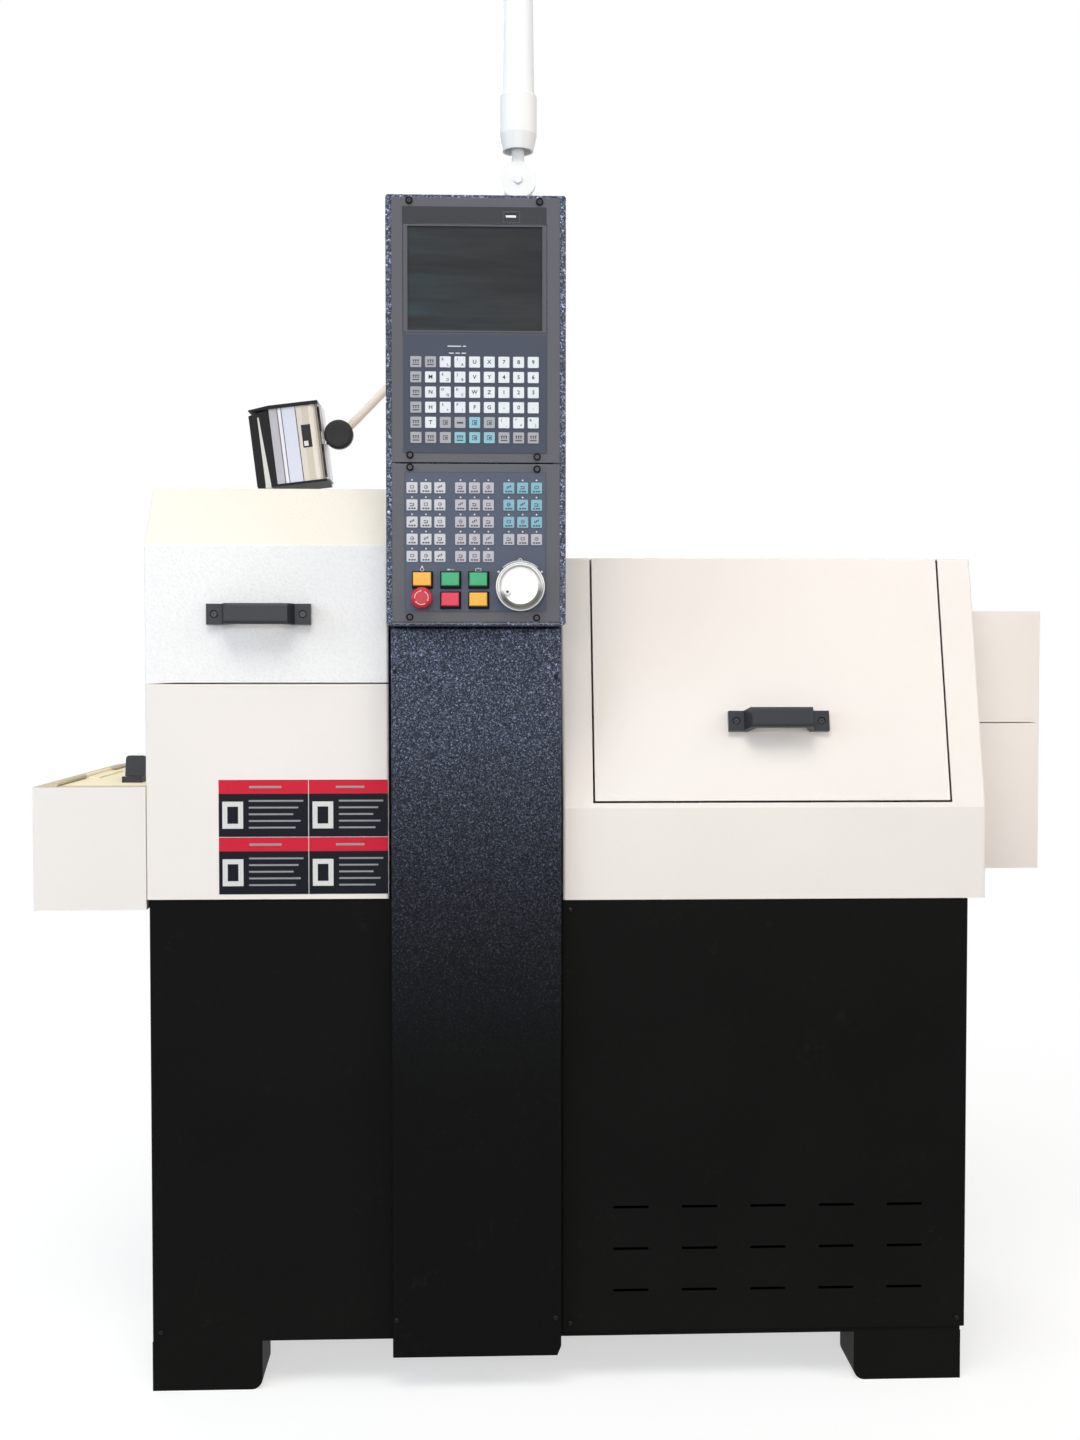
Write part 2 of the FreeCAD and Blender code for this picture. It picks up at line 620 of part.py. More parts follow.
def handwheel():
    """Pulse dial: a dished disc on a shaft that runs in the plate, with the knob's pin."""
    x, z = DIAL_CENTRE
    back = plate_front() - FILM_THICKNESS - DIAL_STAND
    front = back - DIAL_THICKNESS
    face = front + DIAL_DISH
    end = BOX_FRONT + BUTTON_STEM
    outline = [(face, 0), (face, 0.79 * DIAL_RADIUS), (front, 0.865 * DIAL_RADIUS),
               (front, 0.94 * DIAL_RADIUS), (face, DIAL_RADIUS), (back, DIAL_RADIUS),
               (back, DIAL_SHAFT_RADIUS), (end, DIAL_SHAFT_RADIUS), (end, 0)]
    dial = turned(outline, V(x, 0, z), (0, 1, 0))
    pin = rod_y(KNOB_PIN_RADIUS, (front - KNOB_LENGTH + 7, face + 2), x + KNOB_OFFSET[0], z + KNOB_OFFSET[1])
    return joined([dial, pin])


def handwheel_knob():
    """Small waisted knob that spins on the dial's pin."""
    x, z = DIAL_CENTRE[0] + KNOB_OFFSET[0], DIAL_CENTRE[1] + KNOB_OFFSET[1]
    back = plate_front() - FILM_THICKNESS - DIAL_STAND - DIAL_THICKNESS + DIAL_DISH - FACE_GAP
    front = back - KNOB_LENGTH
    outline = [(front, 0), (front, KNOB_RADIUS - 1), (front + 1.5, KNOB_RADIUS), (front + 7, KNOB_RADIUS),
               (back - 5, KNOB_RADIUS - 1.5), (back, KNOB_RADIUS - 0.5), (back, 0)]
    bore = rod_y(KNOB_PIN_RADIUS + RUNNING_FIT, (front + 4, back + 1), x, z)
    return turned(outline, V(x, 0, z), (0, 1, 0)).cut(bore)


# ======== hinges and handles ========

def hinge(kind):
    """One three-knuckle hinge at the origin: axis along X, moving leaf towards -Y, sheets' top at z = 0.

    Gives the fixed half, the moving half and the pin."""
    thin, radius, rise, long = kind
    step = long + FACE_GAP

    def half(middles, leaf_y, play):
        knuckles = []
        for middle in middles:
            x = around(middle, long)
            knuckle = joined([rod_x(radius, x, 0, rise), block(x, leaf_y, (0, HINGE_LEAF))])
            knuckles.append(knuckle.cut(rod_x(thin + play, around(0, 6 * step), 0, rise)))
        return knuckles

    fixed = half((-step, step), (FACE_GAP, HINGE_REACH), BOLTED_FIT)
    moving = half((0,), (-HINGE_REACH, -FACE_GAP), RUNNING_FIT)
    pin = rod_x(thin, around(0, 3 * step), 0, rise)
    return fixed, moving, pin


def placed(shape, turns, spot):
    """A copy turned about the world axes in order, then moved to a spot."""
    copy = shape.copy()
    for axis, angle in turns:
        copy.rotate(V(0, 0, 0), V(*axis), angle)
    copy.translate(V(*spot))
    return copy


def hinge_set(kind, turns, spots):
    """Fixed halves, moving halves and pins of one lid's hinges."""
    fixed, moving, pin = hinge(kind)
    return ([placed(s, turns, spot) for spot in spots for s in fixed],
            [placed(s, turns, spot) for spot in spots for s in moving],
            [placed(pin, turns, spot) for spot in spots])


def along(span, share):
    """The point at a share of a (low, high) span."""
    return span[0] + (span[1] - span[0]) * share


def lid_hinges():
    lid = (HEAD_LEFT, HEAD_RIGHT)
    return hinge_set(COVER_HINGE, [], [(along(lid, share), LID_HINGE_Y, HEAD_TOP) for share in (0.2, 0.8)])


def door_hinges():
    door = (DOOR_LEFT, DOOR_RIGHT)
    return hinge_set(COVER_HINGE, [], [(along(door, share), DOOR_HINGE_Y, WORK_TOP) for share in (0.15, 0.85)])


def end_lid_hinges():
    """The end box's one long hinge, lying from front to back on the flange."""
    return hinge_set(END_HINGE, [((0, 0, 1), 90)], [(END_BOX_LEFT + END_FLANGE, END_BOX_BACK / 2, END_BOX_TOP)])


def hinge_pins():
    """The pins of every lid and door hinge."""
    return group(lid_hinges()[2] + door_hinges()[2] + end_lid_hinges()[2])


def bridge_handle():
    """Moulded bridge handle on y = 0, standing towards -Y, its bar along X."""
    end = HANDLE_LENGTH / 2
    foot = end - HANDLE_FOOT
    top = -HANDLE_FOOT_HEIGHT
    half = [(end, 0), (end, top), (foot, top), (foot - HANDLE_SLOPE * 0.6, -HANDLE_STAND)]
    under = [(foot - HANDLE_SLOPE * 1.3, -HANDLE_STAND + HANDLE_BAR), (foot - 6, 0)]
    outline = [(-x, y) for x, y in half] + [(x, y) for x, y in reversed(half)]
    outline += [(x, y) for x, y in reversed(under)] + [(-x, y) for x, y in under]
    points = [V(x, y, -HANDLE_WIDTH / 2) for x, y in outline]
    solid = prism(points, V(0, 0, HANDLE_WIDTH))
    solid = softened(solid, HANDLE_ROUND, lambda p: abs(p.y + HANDLE_STAND) < 0.1 and abs(p.z) > 1)
    wide, deep = HANDLE_POCKET
    holes = []
    for x in (-end + HANDLE_FOOT / 2, end - HANDLE_FOOT / 2):
        holes.append(rod_y(HANDLE_SCREW / 2, (top - 1, 1), x, 0))
        holes.append(rod_y(wide / 2, (top - 1, top + deep), x, 0))
    return solid.cut(holes)


def lid_handle():
    return placed(bridge_handle(), [], (LID_HANDLE[0], 0, LID_HANDLE[1]))


def door_handle():
    """The door's handle, square to its slanted front."""
    x, z = DOOR_HANDLE
    y = (z - APRON_TOP) * math.tan(math.radians(SLANT))
    return placed(bridge_handle(), [((1, 0, 0), -SLANT)], (x, y, z))


def end_handle():
    """The end box lid's handle, lying from front to back on top."""
    turns = [((1, 0, 0), -90), ((0, 0, 1), 90)]
    return placed(bridge_handle(), turns, (END_HANDLE[0], END_HANDLE[1], END_BOX_TOP))


# ======== headstock side ========

def headstock_lid():
    """Hinged lid with an upright front, a slanted top front and a flat top."""
    back = LID_HINGE_Y - SHEET
    low = HEAD_SPLIT + SHEET
    outline = [(0, low), (0, HEAD_FRONT_TOP), (HEAD_SLANT_DEPTH, HEAD_TOP), (back, HEAD_TOP), (back, low)]
    x = (HEAD_LEFT, HEAD_RIGHT)
    outer = softened(prism_x(outline, x), SHEET_BEND, lambda p: low + 1 < p.z and p.y < back - 1)
    inner = prism_x(inset(outline, [SHEET, SHEET, SHEET, -5, -5]), (x[0] + SHEET, x[1] - SHEET))
    return joined([outer.cut(inner)] + lid_hinges()[1])


def headstock_housing():
    """Fixed cream housing under and behind the lid, open underneath and towards the headstock."""
    low = CABINET_TOP + FACE_GAP
    outline = [(0, low), (0, HEAD_SPLIT), (LID_HINGE_Y, HEAD_SPLIT), (LID_HINGE_Y, HEAD_TOP),
               (DEPTH, HEAD_TOP), (DEPTH, low)]
    x = (HEAD_LEFT, HEAD_RIGHT)
    outer = softened(prism_x(outline, x), SHEET_BEND,
                     lambda p: p.z < HEAD_SPLIT - 1 and p.y < 1 and p.z > CABINET_TOP + 5)
    inner = prism_x(inset(outline, [SHEET] * 5 + [-5]), (x[0] + SHEET, x[1] - SHEET))
    shell = outer.cut(inner)
    mouth = block((x[0] + RIM, x[1] - RIM), (RIM, LID_HINGE_Y - RIM), (HEAD_SPLIT - 5, HEAD_SPLIT + 1))
    bay = block((x[1] - 5, x[1] + 1), (60, DEPTH - 60), (CABINET_TOP, HEAD_SPLIT - RIM))
    shaft = rod_x(MOTOR_SHAFT + 4, (x[0] - 1, x[0] + 5), SPINDLE_Y, MOTOR_Z)
    return joined([shell.cut([mouth, bay, shaft])] + lid_hinges()[0])


def centre_cover():
    """Roof, back and upper front between the two enclosures, behind the column."""
    front = COLUMN_BACK + FACE_GAP
    low = CABINET_TOP + FACE_GAP
    outline = [(front, low), (front, WORK_TOP), (DEPTH, WORK_TOP), (DEPTH, low)]
    x = (HEAD_RIGHT + FACE_GAP, WORK_LEFT - FACE_GAP)
    outer = prism_x(outline, x)
    inner = prism_x(inset(outline, [SHEET, SHEET, SHEET, -5]), (x[0] - 1, x[1] + 1))
    below = block((x[0] - 1, x[1] + 1), (front - 1, front + 5), (CABINET_TOP, COLUMN_TOP - RIM))
    return outer.cut(inner).cut(below)


# ======== work area ========

def work_outline():
    return [(0, WORK_BOTTOM), (0, APRON_TOP), (WORK_SLANT_DEPTH, WORK_TOP), (DEPTH, WORK_TOP),
            (DEPTH, WORK_BOTTOM)]


def slant_y(z):
    """The y of the slanted front at height z."""
    return (z - APRON_TOP) * WORK_SLANT_DEPTH / (WORK_TOP - APRON_TOP)


def door_band(low, back, depth, lift=0.0):
    """The (y, z) band of the slanted front and roof from height low to y back, depth thick."""
    outer = [(slant_y(low), low), (WORK_SLANT_DEPTH, WORK_TOP), (back, WORK_TOP)]
    corners = inset(outer + [(back, low)], [-lift, -lift, 0, 0])
    inner = inset(outer + [(back, low)], [depth, depth, 0, 0])
    return [corners[0], corners[1], corners[2], inner[2], inner[1], inner[0]]


def work_area_enclosure():
    """Cream enclosure of the work area: apron, slanted front, roof, sides and back."""
    x = (WORK_LEFT, WORK_RIGHT)
    outline = work_outline()
    outer = softened(prism_x(outline, x), SHEET_BEND,
                     lambda p: p.y < WORK_SLANT_DEPTH + 1 and p.z > WORK_BOTTOM + 5)
    shell = outer.cut(prism_x(inset(outline, [SHEET] * 4 + [-5]), (x[0] + SHEET, x[1] - SHEET)))
    doorway = prism_x(door_band(DOOR_BOTTOM - PANEL_GAP, DOOR_HINGE_Y, 3 * SHEET, 20),
                      (DOOR_LEFT - PANEL_GAP, DOOR_RIGHT + PANEL_GAP))
    over_cabinet = block((x[0] - 1, CABINET_RIGHT + FACE_GAP), (CABINET_FRONT - FACE_GAP, DEPTH + 1),
                         (WORK_BOTTOM - 1, CABINET_TOP + FACE_GAP))
    nose = rod_x(CHUCK_RADIUS + 6, (x[0] - 1, x[0] + 5), SPINDLE_Y, SPINDLE_Z)
    screw = rod_x(Z_SCREW_RADIUS + 4, (x[1] - 5, x[1] + 1), Z_SCREW_Y, Z_SCREW_Z)
    rail = [block((HEADSTOCK_SPAN[1], x[0] + 5), (BED_Y[0] - 5, BED_Y[1] + 5), (CABINET_TOP, BED_TOP + 5))]
    return joined([shell.cut([doorway, over_cabinet, nose, screw] + rail)] + door_hinges()[0])


def work_door():
    """Flip-up door: one folded pan over the slanted front and the front half of the roof."""
    x = (DOOR_LEFT, DOOR_RIGHT)
    back = DOOR_HINGE_Y - PANEL_GAP
    outer = prism_x(door_band(DOOR_BOTTOM, back, DOOR_PAN), x)
    outer = softened(outer, SHEET_BEND / 2, lambda p: abs(p.z - WORK_TOP) < 1 and p.y < WORK_SLANT_DEPTH + 1)
    pan = inset(door_band(DOOR_BOTTOM, back, DOOR_PAN), [SHEET, SHEET, SHEET, -5, -5, SHEET])
    return joined([outer.cut(prism_x(pan, (x[0] + SHEET, x[1] - SHEET)))] + door_hinges()[1])


# ======== end boxes ========

def left_end_box():
    """Open-topped box on the left wall round the spindle motor, flanged at left and front for its lid."""
    right = HEAD_LEFT - FACE_GAP
    x = (END_BOX_LEFT, right)
    y = (0, END_BOX_BACK)
    outer = softened(block(x, y, (END_BOX_BOTTOM, END_BOX_TOP)), SHEET,
                     lambda p: p.x < x[0] + 1 and END_BOX_BOTTOM + 1 < p.z < END_BOX_TOP - 1)
    inner = block((x[0] + SHEET, x[1] - SHEET), (y[0] + SHEET, y[1] - SHEET),
                  (END_BOX_BOTTOM + SHEET, END_BOX_TOP - SHEET))
    mouth = block((x[0] + END_FLANGE, x[1] + 1), (y[0] + END_FLANGE, y[1] - SHEET),
                  (END_BOX_TOP - 5, END_BOX_TOP + 1))
    shaft = rod_x(MOTOR_SHAFT + 4, (x[1] - 5, x[1] + 1), SPINDLE_Y, MOTOR_Z)
    return joined([outer.cut([inner, mouth, shaft])] + end_lid_hinges()[0])


def end_box_lid():
    """Folded lid of the left end box, with a skirt inside the box's walls."""
    x = (END_BOX_LEFT + END_FLANGE + SHEET, HEAD_LEFT - FACE_GAP - PANEL_GAP)
    y = (END_FLANGE + SHEET, END_BOX_BACK - SHEET - FACE_GAP * 2)
    outer = block(x, y, (END_BOX_TOP - END_LID_SKIRT, END_BOX_TOP))
    inner = block((x[0] + SHEET, x[1] - SHEET), (y[0] + SHEET, y[1] - SHEET),
                  (END_BOX_TOP - END_LID_SKIRT - 1, END_BOX_TOP - SHEET))
    return joined([outer.cut(inner)] + end_lid_hinges()[1])


def right_cover(z):
    """Sheet cover on the enclosure's right wall over the heights z."""
    x = (WORK_RIGHT + FACE_GAP, COVER_RIGHT)
    y = (COVER_FRONT, COVER_BACK)
    outer = softened(block(x, y, z), SHEET, lambda p: p.x > x[1] - 1 and z[0] + 1 < p.z < z[1] - 1)
    inner = block((x[0] - 1, x[1] - SHEET), (y[0] + SHEET, y[1] - SHEET), (z[0] + SHEET, z[1] - SHEET))
    return outer.cut(inner)


# ======== spindle train ========

def on_spindle(profile):
    """A (x, radius) outline revolved about the spindle axis."""
    return turned(profile, V(0, SPINDLE_Y, SPINDLE_Z), (1, 0, 0))


def bearing_spans():
    """The rear and front bearing seats along the headstock."""
    rear, front = HEADSTOCK_SPAN[0] + HEADSTOCK_CAP, HEADSTOCK_SPAN[1] - HEADSTOCK_CAP
    return (rear, rear + BEARING_LENGTH), (front - BEARING_LENGTH, front)


def headstock():
    """Cast headstock: a footed, arched block bored through for spindle and bearings."""
    wide, top = HEADSTOCK_HALF_WIDTH, HEADSTOCK_TOP
    reach, foot = HEADSTOCK_FLANGE
    half = [(wide + reach, BED_TOP), (wide + reach, BED_TOP + foot), (wide, BED_TOP + foot + HEADSTOCK_CAP),
            (wide - HEADSTOCK_DRAFT, top - HEADSTOCK_ARCH), (wide - HEADSTOCK_ARCH, top)]
    outline = [(SPINDLE_Y - y, z) for y, z in half] + [(SPINDLE_Y + y, z) for y, z in reversed(half)]
    body = prism_x(outline, HEADSTOCK_SPAN)
    start, end = HEADSTOCK_SPAN[0] - 1, HEADSTOCK_SPAN[1] + 1
    rear, front = bearing_spans()
    bores = [rod_x(SPINDLE_RADIUS + 6, (start, end), SPINDLE_Y, SPINDLE_Z),
             rod_x(BEARING_OUTER + BOLTED_FIT, (start, rear[1]), SPINDLE_Y, SPINDLE_Z),
             rod_x(BEARING_OUTER + BOLTED_FIT, (front[0], end), SPINDLE_Y, SPINDLE_Z)]
    return body.cut(bores)


def spindle_bearings():
    """Rear and front bearing cartridges."""
    inner = SPINDLE_RADIUS + RUNNING_FIT
    return group([on_spindle([(a, inner), (a, BEARING_OUTER), (b, BEARING_OUTER), (b, inner)])
                  for a, b in bearing_spans()])


def spindle():
    """Hollow spindle with a pulley seat at the rear and a flanged nose."""
    rear, nose = SPINDLE_SPAN
    seat = SPINDLE_RADIUS - SPINDLE_SEAT_STEP
    shoulder = PULLEY_SPAN[1] + FACE_GAP
    big = SPINDLE_RADIUS + SPINDLE_NOSE
    clear = HEADSTOCK_SPAN[1] + 6
    outline = [(rear, SPINDLE_BORE), (rear, seat), (shoulder, seat), (shoulder, SPINDLE_RADIUS),
               (clear, SPINDLE_RADIUS), (clear + 6, big - 4), (nose - SPINDLE_NOSE, big), (nose, big),
               (nose, SPINDLE_BORE)]
    return on_spindle(outline)


def collet_chuck():
    """Collet chuck body: a flanged drum with a tapered nose, bored for the collet."""
    back, front = CHUCK_SPAN
    bore = COLLET_RADIUS + FACE_GAP
    long, fall = CHUCK_TAPER
    edge, drop = CHUCK_CHAMFER
    outline = [(back, bore), (back, CHUCK_RADIUS), (front - long, CHUCK_RADIUS),
               (front - edge, CHUCK_RADIUS - fall), (front, CHUCK_RADIUS - fall - drop), (front, bore)]
    return on_spindle(outline)


def collet():
    """Split collet seated in the chuck's nose, on a shoulder against the spindle."""
    back = CHUCK_SPAN[0]
    front = CHUCK_SPAN[1] + 2
    bore = SPINDLE_BORE - 1.5
    body = on_spindle([(back, bore), (back, COLLET_RADIUS), (front, COLLET_RADIUS), (front, bore)])
    long, wide = COLLET_SLIT
    slits = []
    for turn in range(COLLET_SLITS):
        slit = block((front - long, front + 1), around(SPINDLE_Y, wide),
                     (SPINDLE_Z, SPINDLE_Z + COLLET_RADIUS + 1))
        slit.rotate(V(0, SPINDLE_Y, SPINDLE_Z), V(1, 0, 0), 360 / COLLET_SLITS * turn)
        slits.append(slit)
    return body.cut(slits)


def pulley_outline(bore, radius):
    """A ribbed and flanged pulley's (x, radius) outline over the pulley span."""
    left, right = PULLEY_SPAN
    flange, rise = PULLEY_FLANGE
    edge = radius + rise
    outline = [(left, bore), (left, edge), (left + flange, edge), (left + flange, radius)]
    pitch = (right - left - 2 * flange) / PULLEY_RIBS
    for rib in range(PULLEY_RIBS):
        start = left + flange + rib * pitch
        outline += [(start + pitch * 0.5, radius - PULLEY_GROOVE), (start + pitch, radius)]
    return outline + [(right - flange, edge), (right, edge), (right, bore)]


def spindle_pulley():
    bore = SPINDLE_RADIUS - SPINDLE_SEAT_STEP + BOLTED_FIT
    return on_spindle(pulley_outline(bore, SPINDLE_PULLEY_RADIUS))


def motor_pulley():
    """Small pulley with its shaft, which turns in the motor."""
    base = V(0, SPINDLE_Y, MOTOR_Z)
    pulley = turned(pulley_outline(0, MOTOR_PULLEY_RADIUS), base, (1, 0, 0))
    shaft = rod_x(MOTOR_SHAFT, (HEAD_LEFT - 20, PULLEY_SPAN[0] + 1), SPINDLE_Y, MOTOR_Z)
    return joined([pulley, shaft])


def belt_loop(extra, x):
    """The filled outline round both pulleys, at a distance outside them, over the span x."""
    big, small = SPINDLE_PULLEY_RADIUS + extra, MOTOR_PULLEY_RADIUS + extra
    lean = math.asin((big - small) / (SPINDLE_Z - MOTOR_Z))
    side = []
    for radius, z in ((small, MOTOR_Z), (big, SPINDLE_Z)):
        side.append((radius * math.cos(lean), z - radius * math.sin(lean)))
    outline = [(SPINDLE_Y - y, z) for y, z in side] + [(SPINDLE_Y + y, z) for y, z in reversed(side)]
    ends = [rod_x(big, x, SPINDLE_Y, SPINDLE_Z), rod_x(small, x, SPINDLE_Y, MOTOR_Z)]
    return joined([prism_x(outline, x)] + ends)


def drive_belt():
    """Flat loop of belt round the two pulleys."""
    x = around(sum(PULLEY_SPAN) / 2, BELT_WIDTH)
    return belt_loop(FACE_GAP + BELT_THICKNESS, x).cut(belt_loop(FACE_GAP, (x[0] - 1, x[1] + 1)))


def square_motor(side, length, bore, spot, direction):
    """Servo motor: flange, square ribbed body and end cap, with a blind bore for its shaft's end."""
    body = block((0, length), around(0, side), around(0, side))
    body = softened(body, side * 0.09, lambda p: 1 < p.x < length - 1)
    face = side / 2 - MOTOR_FLUTE_DEPTH
    flutes = [block((length * 0.15, length * 0.62), span, around(0, side * 0.7))
              for span in ((-side / 2 - 1, -face), (face, side / 2 + 1))]
    hole = rod_x(bore, (-1, MOTOR_BORE_DEPTH), 0, 0)
    return placed(body.cut(flutes + [hole]), direction, spot)


def spindle_motor():
    """Spindle motor, flanged on the left wall inside the end box."""
    return square_motor(MOTOR_SIDE, MOTOR_LENGTH, MOTOR_SHAFT + RUNNING_FIT,
                        (HEAD_LEFT - 2 * FACE_GAP - SHEET, SPINDLE_Y, MOTOR_Z), [((0, 0, 1), 180)])


# ======== bed and slides ========

def bed():
    """Cast bed: an inverted trough with cross ribs under its top."""
    outer = block(BED_SPAN, BED_Y, (CABINET_TOP, BED_TOP))
    outer = softened(outer, BED_ROUND, lambda p: abs(p.z - (CABINET_TOP + BED_TOP) / 2) < 1)
    pitch = (BED_SPAN[1] - BED_SPAN[0] - BED_WALL) / BED_POCKETS
    pockets = []
    for place in range(BED_POCKETS):
        left = BED_SPAN[0] + BED_WALL + place * pitch
        pockets.append(block((left, left + pitch - BED_WALL), (BED_Y[0] + BED_WALL, BED_Y[1] - BED_WALL),
                             (CABINET_TOP - 1, BED_TOP - BED_WALL)))
    return outer.cut(pockets)


def rail_section(base, clearance=0.0):
    """A linear rail's outline across its length, standing on height base: (across, up) points."""
    half = RAIL_WIDTH / 2 + clearance
    waist = half - RAIL_WAIST
    side = list(zip((half, waist, waist, half), (base + height for height in RAIL_WAIST_HEIGHTS)))
    side = [(half, base)] + side + [(half, base + RAIL_HEIGHT + clearance)]
    return [(-across, up) for across, up in side] + side[::-1]


def z_rails():
    return group([prism_x([(y + a, z) for a, z in rail_section(BED_TOP)], Z_RAIL_SPAN) for y in Z_RAIL_Y])


def z_screw_supports():
    """End bearing blocks of the Z screw on the bed."""
    hole = Z_SCREW_JOURNAL + RUNNING_FIT
    wide, tall = Z_SUPPORT_SIZE
    solids = []
    for x in Z_SUPPORTS:
        stand = block(x, around(Z_SCREW_Y, wide), (BED_TOP, BED_TOP + tall))
        solids.append(stand.cut(rod_x(hole, (x[0] - 1, x[1] + 1), Z_SCREW_Y, Z_SCREW_Z)))
    return group(solids)


def z_ballscrew():
    """Z screw: a ground bar with turned-down journals, the right one reaching into the motor."""
    start, left = Z_SUPPORTS[0][0] + 2, Z_SUPPORTS[0][1] + 1
    right, end = Z_SUPPORTS[1][0] - 1, WORK_RIGHT + 14
    outline = [(start, 0), (start, Z_SCREW_JOURNAL), (left, Z_SCREW_JOURNAL), (left, Z_SCREW_RADIUS),
               (right, Z_SCREW_RADIUS), (right, Z_SCREW_JOURNAL), (end, Z_SCREW_JOURNAL), (end, 0)]
    return turned(outline, V(0, Z_SCREW_Y, Z_SCREW_Z), (1, 0, 0))


def z_axis_motor():
    return square_motor(SERVO_SIDE, SERVO_LENGTH, Z_SCREW_JOURNAL + RUNNING_FIT,
                        (WORK_RIGHT + FACE_GAP, Z_SCREW_Y, Z_SCREW_Z), [])


def z_saddle():
    """Saddle casting with its four runner blocks, nut bracket and the X screw's brackets."""
    x, top = SADDLE_X, SADDLE_TOP
    y = (BED_Y[0], BED_Y[1] + SADDLE_OVERHANG)
    solids = [block(x, y, (SADDLE_BOTTOM, top))]
    for rail_y in Z_RAIL_Y:
        for start in (x[0], x[1] - RUNNER_LENGTH):
            solids.append(block((start, start + RUNNER_LENGTH), around(rail_y, RUNNER_WIDTH),
                                (BED_TOP + RUNNER_GAP, SADDLE_BOTTOM + 1)))
    middle = sum(x) / 2
    long, wide = Z_NUT_SIZE
    solids.append(block(around(middle, long), around(Z_SCREW_Y, wide), (Z_SCREW_Z - 15, SADDLE_BOTTOM + 1)))
    for place, (wide, thick, over) in ((0, X_BRACKET), (1, X_MOTOR_PLATE)):
        span = (y[0], y[0] + thick) if place == 0 else (y[1] - thick, y[1])
        solids.append(block(around(middle, wide), span, (top - 1, X_SCREW_Z + over)))
    cuts = [prism_x([(rail_y + a, z) for a, z in rail_section(BED_TOP, FACE_GAP)], (x[0] - 1, x[1] + 1))
            for rail_y in Z_RAIL_Y]
    cuts.append(rod_x(Z_SCREW_RADIUS + RUNNING_FIT, x, Z_SCREW_Y, Z_SCREW_Z))
    cuts.append(rod_y(X_SCREW_RADIUS + RUNNING_FIT, (y[0] - 1, y[1] + 1), middle, X_SCREW_Z))
    return joined(solids).cut(cuts)


def x_rails():
    section = rail_section(SADDLE_TOP)
    return group([prism_y([(x + a, z) for a, z in section], X_RAIL_SPAN) for x in X_RAIL_X])


def x_ballscrew():
    middle = sum(SADDLE_X) / 2
    return rod_y(X_SCREW_RADIUS, (BED_Y[0] + 1, BED_Y[1] + 22), middle, X_SCREW_Z)


def x_axis_motor():
    middle = sum(SADDLE_X) / 2
    return square_motor(SERVO_SIDE, SERVO_LENGTH - SADDLE_OVERHANG, X_SCREW_RADIUS + RUNNING_FIT,
                        (middle, BED_Y[1] + SADDLE_OVERHANG + FACE_GAP, X_SCREW_Z), [((0, 0, 1), 90)])


def cross_slide():
    """Cross slide table with T-slots, four runner blocks and its nut."""
    x = (SADDLE_X[0] + SLIDE_INSET, SADDLE_X[1] - SLIDE_INSET)
    y = SLIDE_Y
    solids = [block(x, y, (SLIDE_BOTTOM, SLIDE_TOP))]
    for rail_x in X_RAIL_X:
        for start in (y[0], y[1] - RUNNER_LENGTH):
            solids.append(block(around(rail_x, RUNNER_WIDTH), (start, start + RUNNER_LENGTH),
                                (SADDLE_TOP + RUNNER_GAP, SLIDE_BOTTOM + 1)))
    middle = sum(SADDLE_X) / 2
    wide, long = X_NUT_SIZE
    solids.append(block(around(middle, wide), around(sum(y) / 2, long), (X_SCREW_Z - 9, SLIDE_BOTTOM + 1)))
    cuts = [prism_y([(rail_x + a, z) for a, z in rail_section(SADDLE_TOP, FACE_GAP)], (y[0] - 1, y[1] + 1))
            for rail_x in X_RAIL_X]
    cuts.append(rod_y(X_SCREW_RADIUS + RUNNING_FIT, y, middle, X_SCREW_Z))
    through = (y[0] - 1, y[1] + 1)
    neck, floor = SLIDE_TOP - SLOT_DEPTHS[0], SLIDE_TOP - SLOT_DEPTHS[1]
    for edge in SLOT_FROM_EDGE:
        cuts.append(block(around(x[1] - edge, SLOT_WIDTHS[0]), through, (neck, SLIDE_TOP + 1)))
        cuts.append(block(around(x[1] - edge, SLOT_WIDTHS[1]), through, (floor, neck + 1)))
    return joined(solids).cut(cuts)


def tool_holders():
    """Gang of tool blocks, each with a shank slot whose floor puts the tip at centre height."""
    floor = SPINDLE_Z - TOOL_SHANK
    long, wide = HOLDER_SIZE
    start = SADDLE_X[0] + HOLDER_INSET
    solids = []
    for place in range(TOOL_COUNT):
        y = along(SLIDE_Y, 0.5) + (place - (TOOL_COUNT - 1) / 2) * TOOL_PITCH
        body = block((start, start + long), around(y, wide), (SLIDE_TOP, SPINDLE_Z + HOLDER_OVER))
        slot = block((start - 1, start + long + 1), (y - wide / 2 - 1, y + 2), (floor, SPINDLE_Z))
        z = (SPINDLE_Z - 1, SPINDLE_Z + HOLDER_OVER + 1)
        holes = [rod_z(3, z, start + HOLDER_SCREW_PITCH * (n + 1), y - 8) for n in range(HOLDER_SCREWS)]
        solids.append(body.cut([slot] + holes))
    return group(solids)


# ======== work lamp ========

def lamp_rod(start, end, y):
    """A round rod between two (x, z) points in the plane y."""
    a, b = V(start[0], y, start[1]), V(end[0], y, end[1])
    return Part.makeCylinder(LAMP_ROD, (b - a).Length, a, b - a)


def lamp_planes():
    """Middle planes of the lower arm's and the upper arm's hubs, side by side."""
    offset = (LAMP_HUB_LENGTH + FACE_GAP) / 2
    return LAMP_Y + offset, LAMP_Y - offset


def lamp_base():
    """Round flanged base on the centre cover's roof, bored for the lower arm's post."""
    x, z = LAMP_BASE
    radius, tall = LAMP_SOCKET
    flange = rod_z(LAMP_BASE_RADIUS, (z, z + LAMP_FLANGE), x, LAMP_Y)
    socket = rod_z(radius, (z, z + tall), x, LAMP_Y)
    bore = rod_z(LAMP_POST_RADIUS + RUNNING_FIT, (z + 4, z + tall + 1), x, LAMP_Y)
    return joined([flange, socket]).cut(bore)


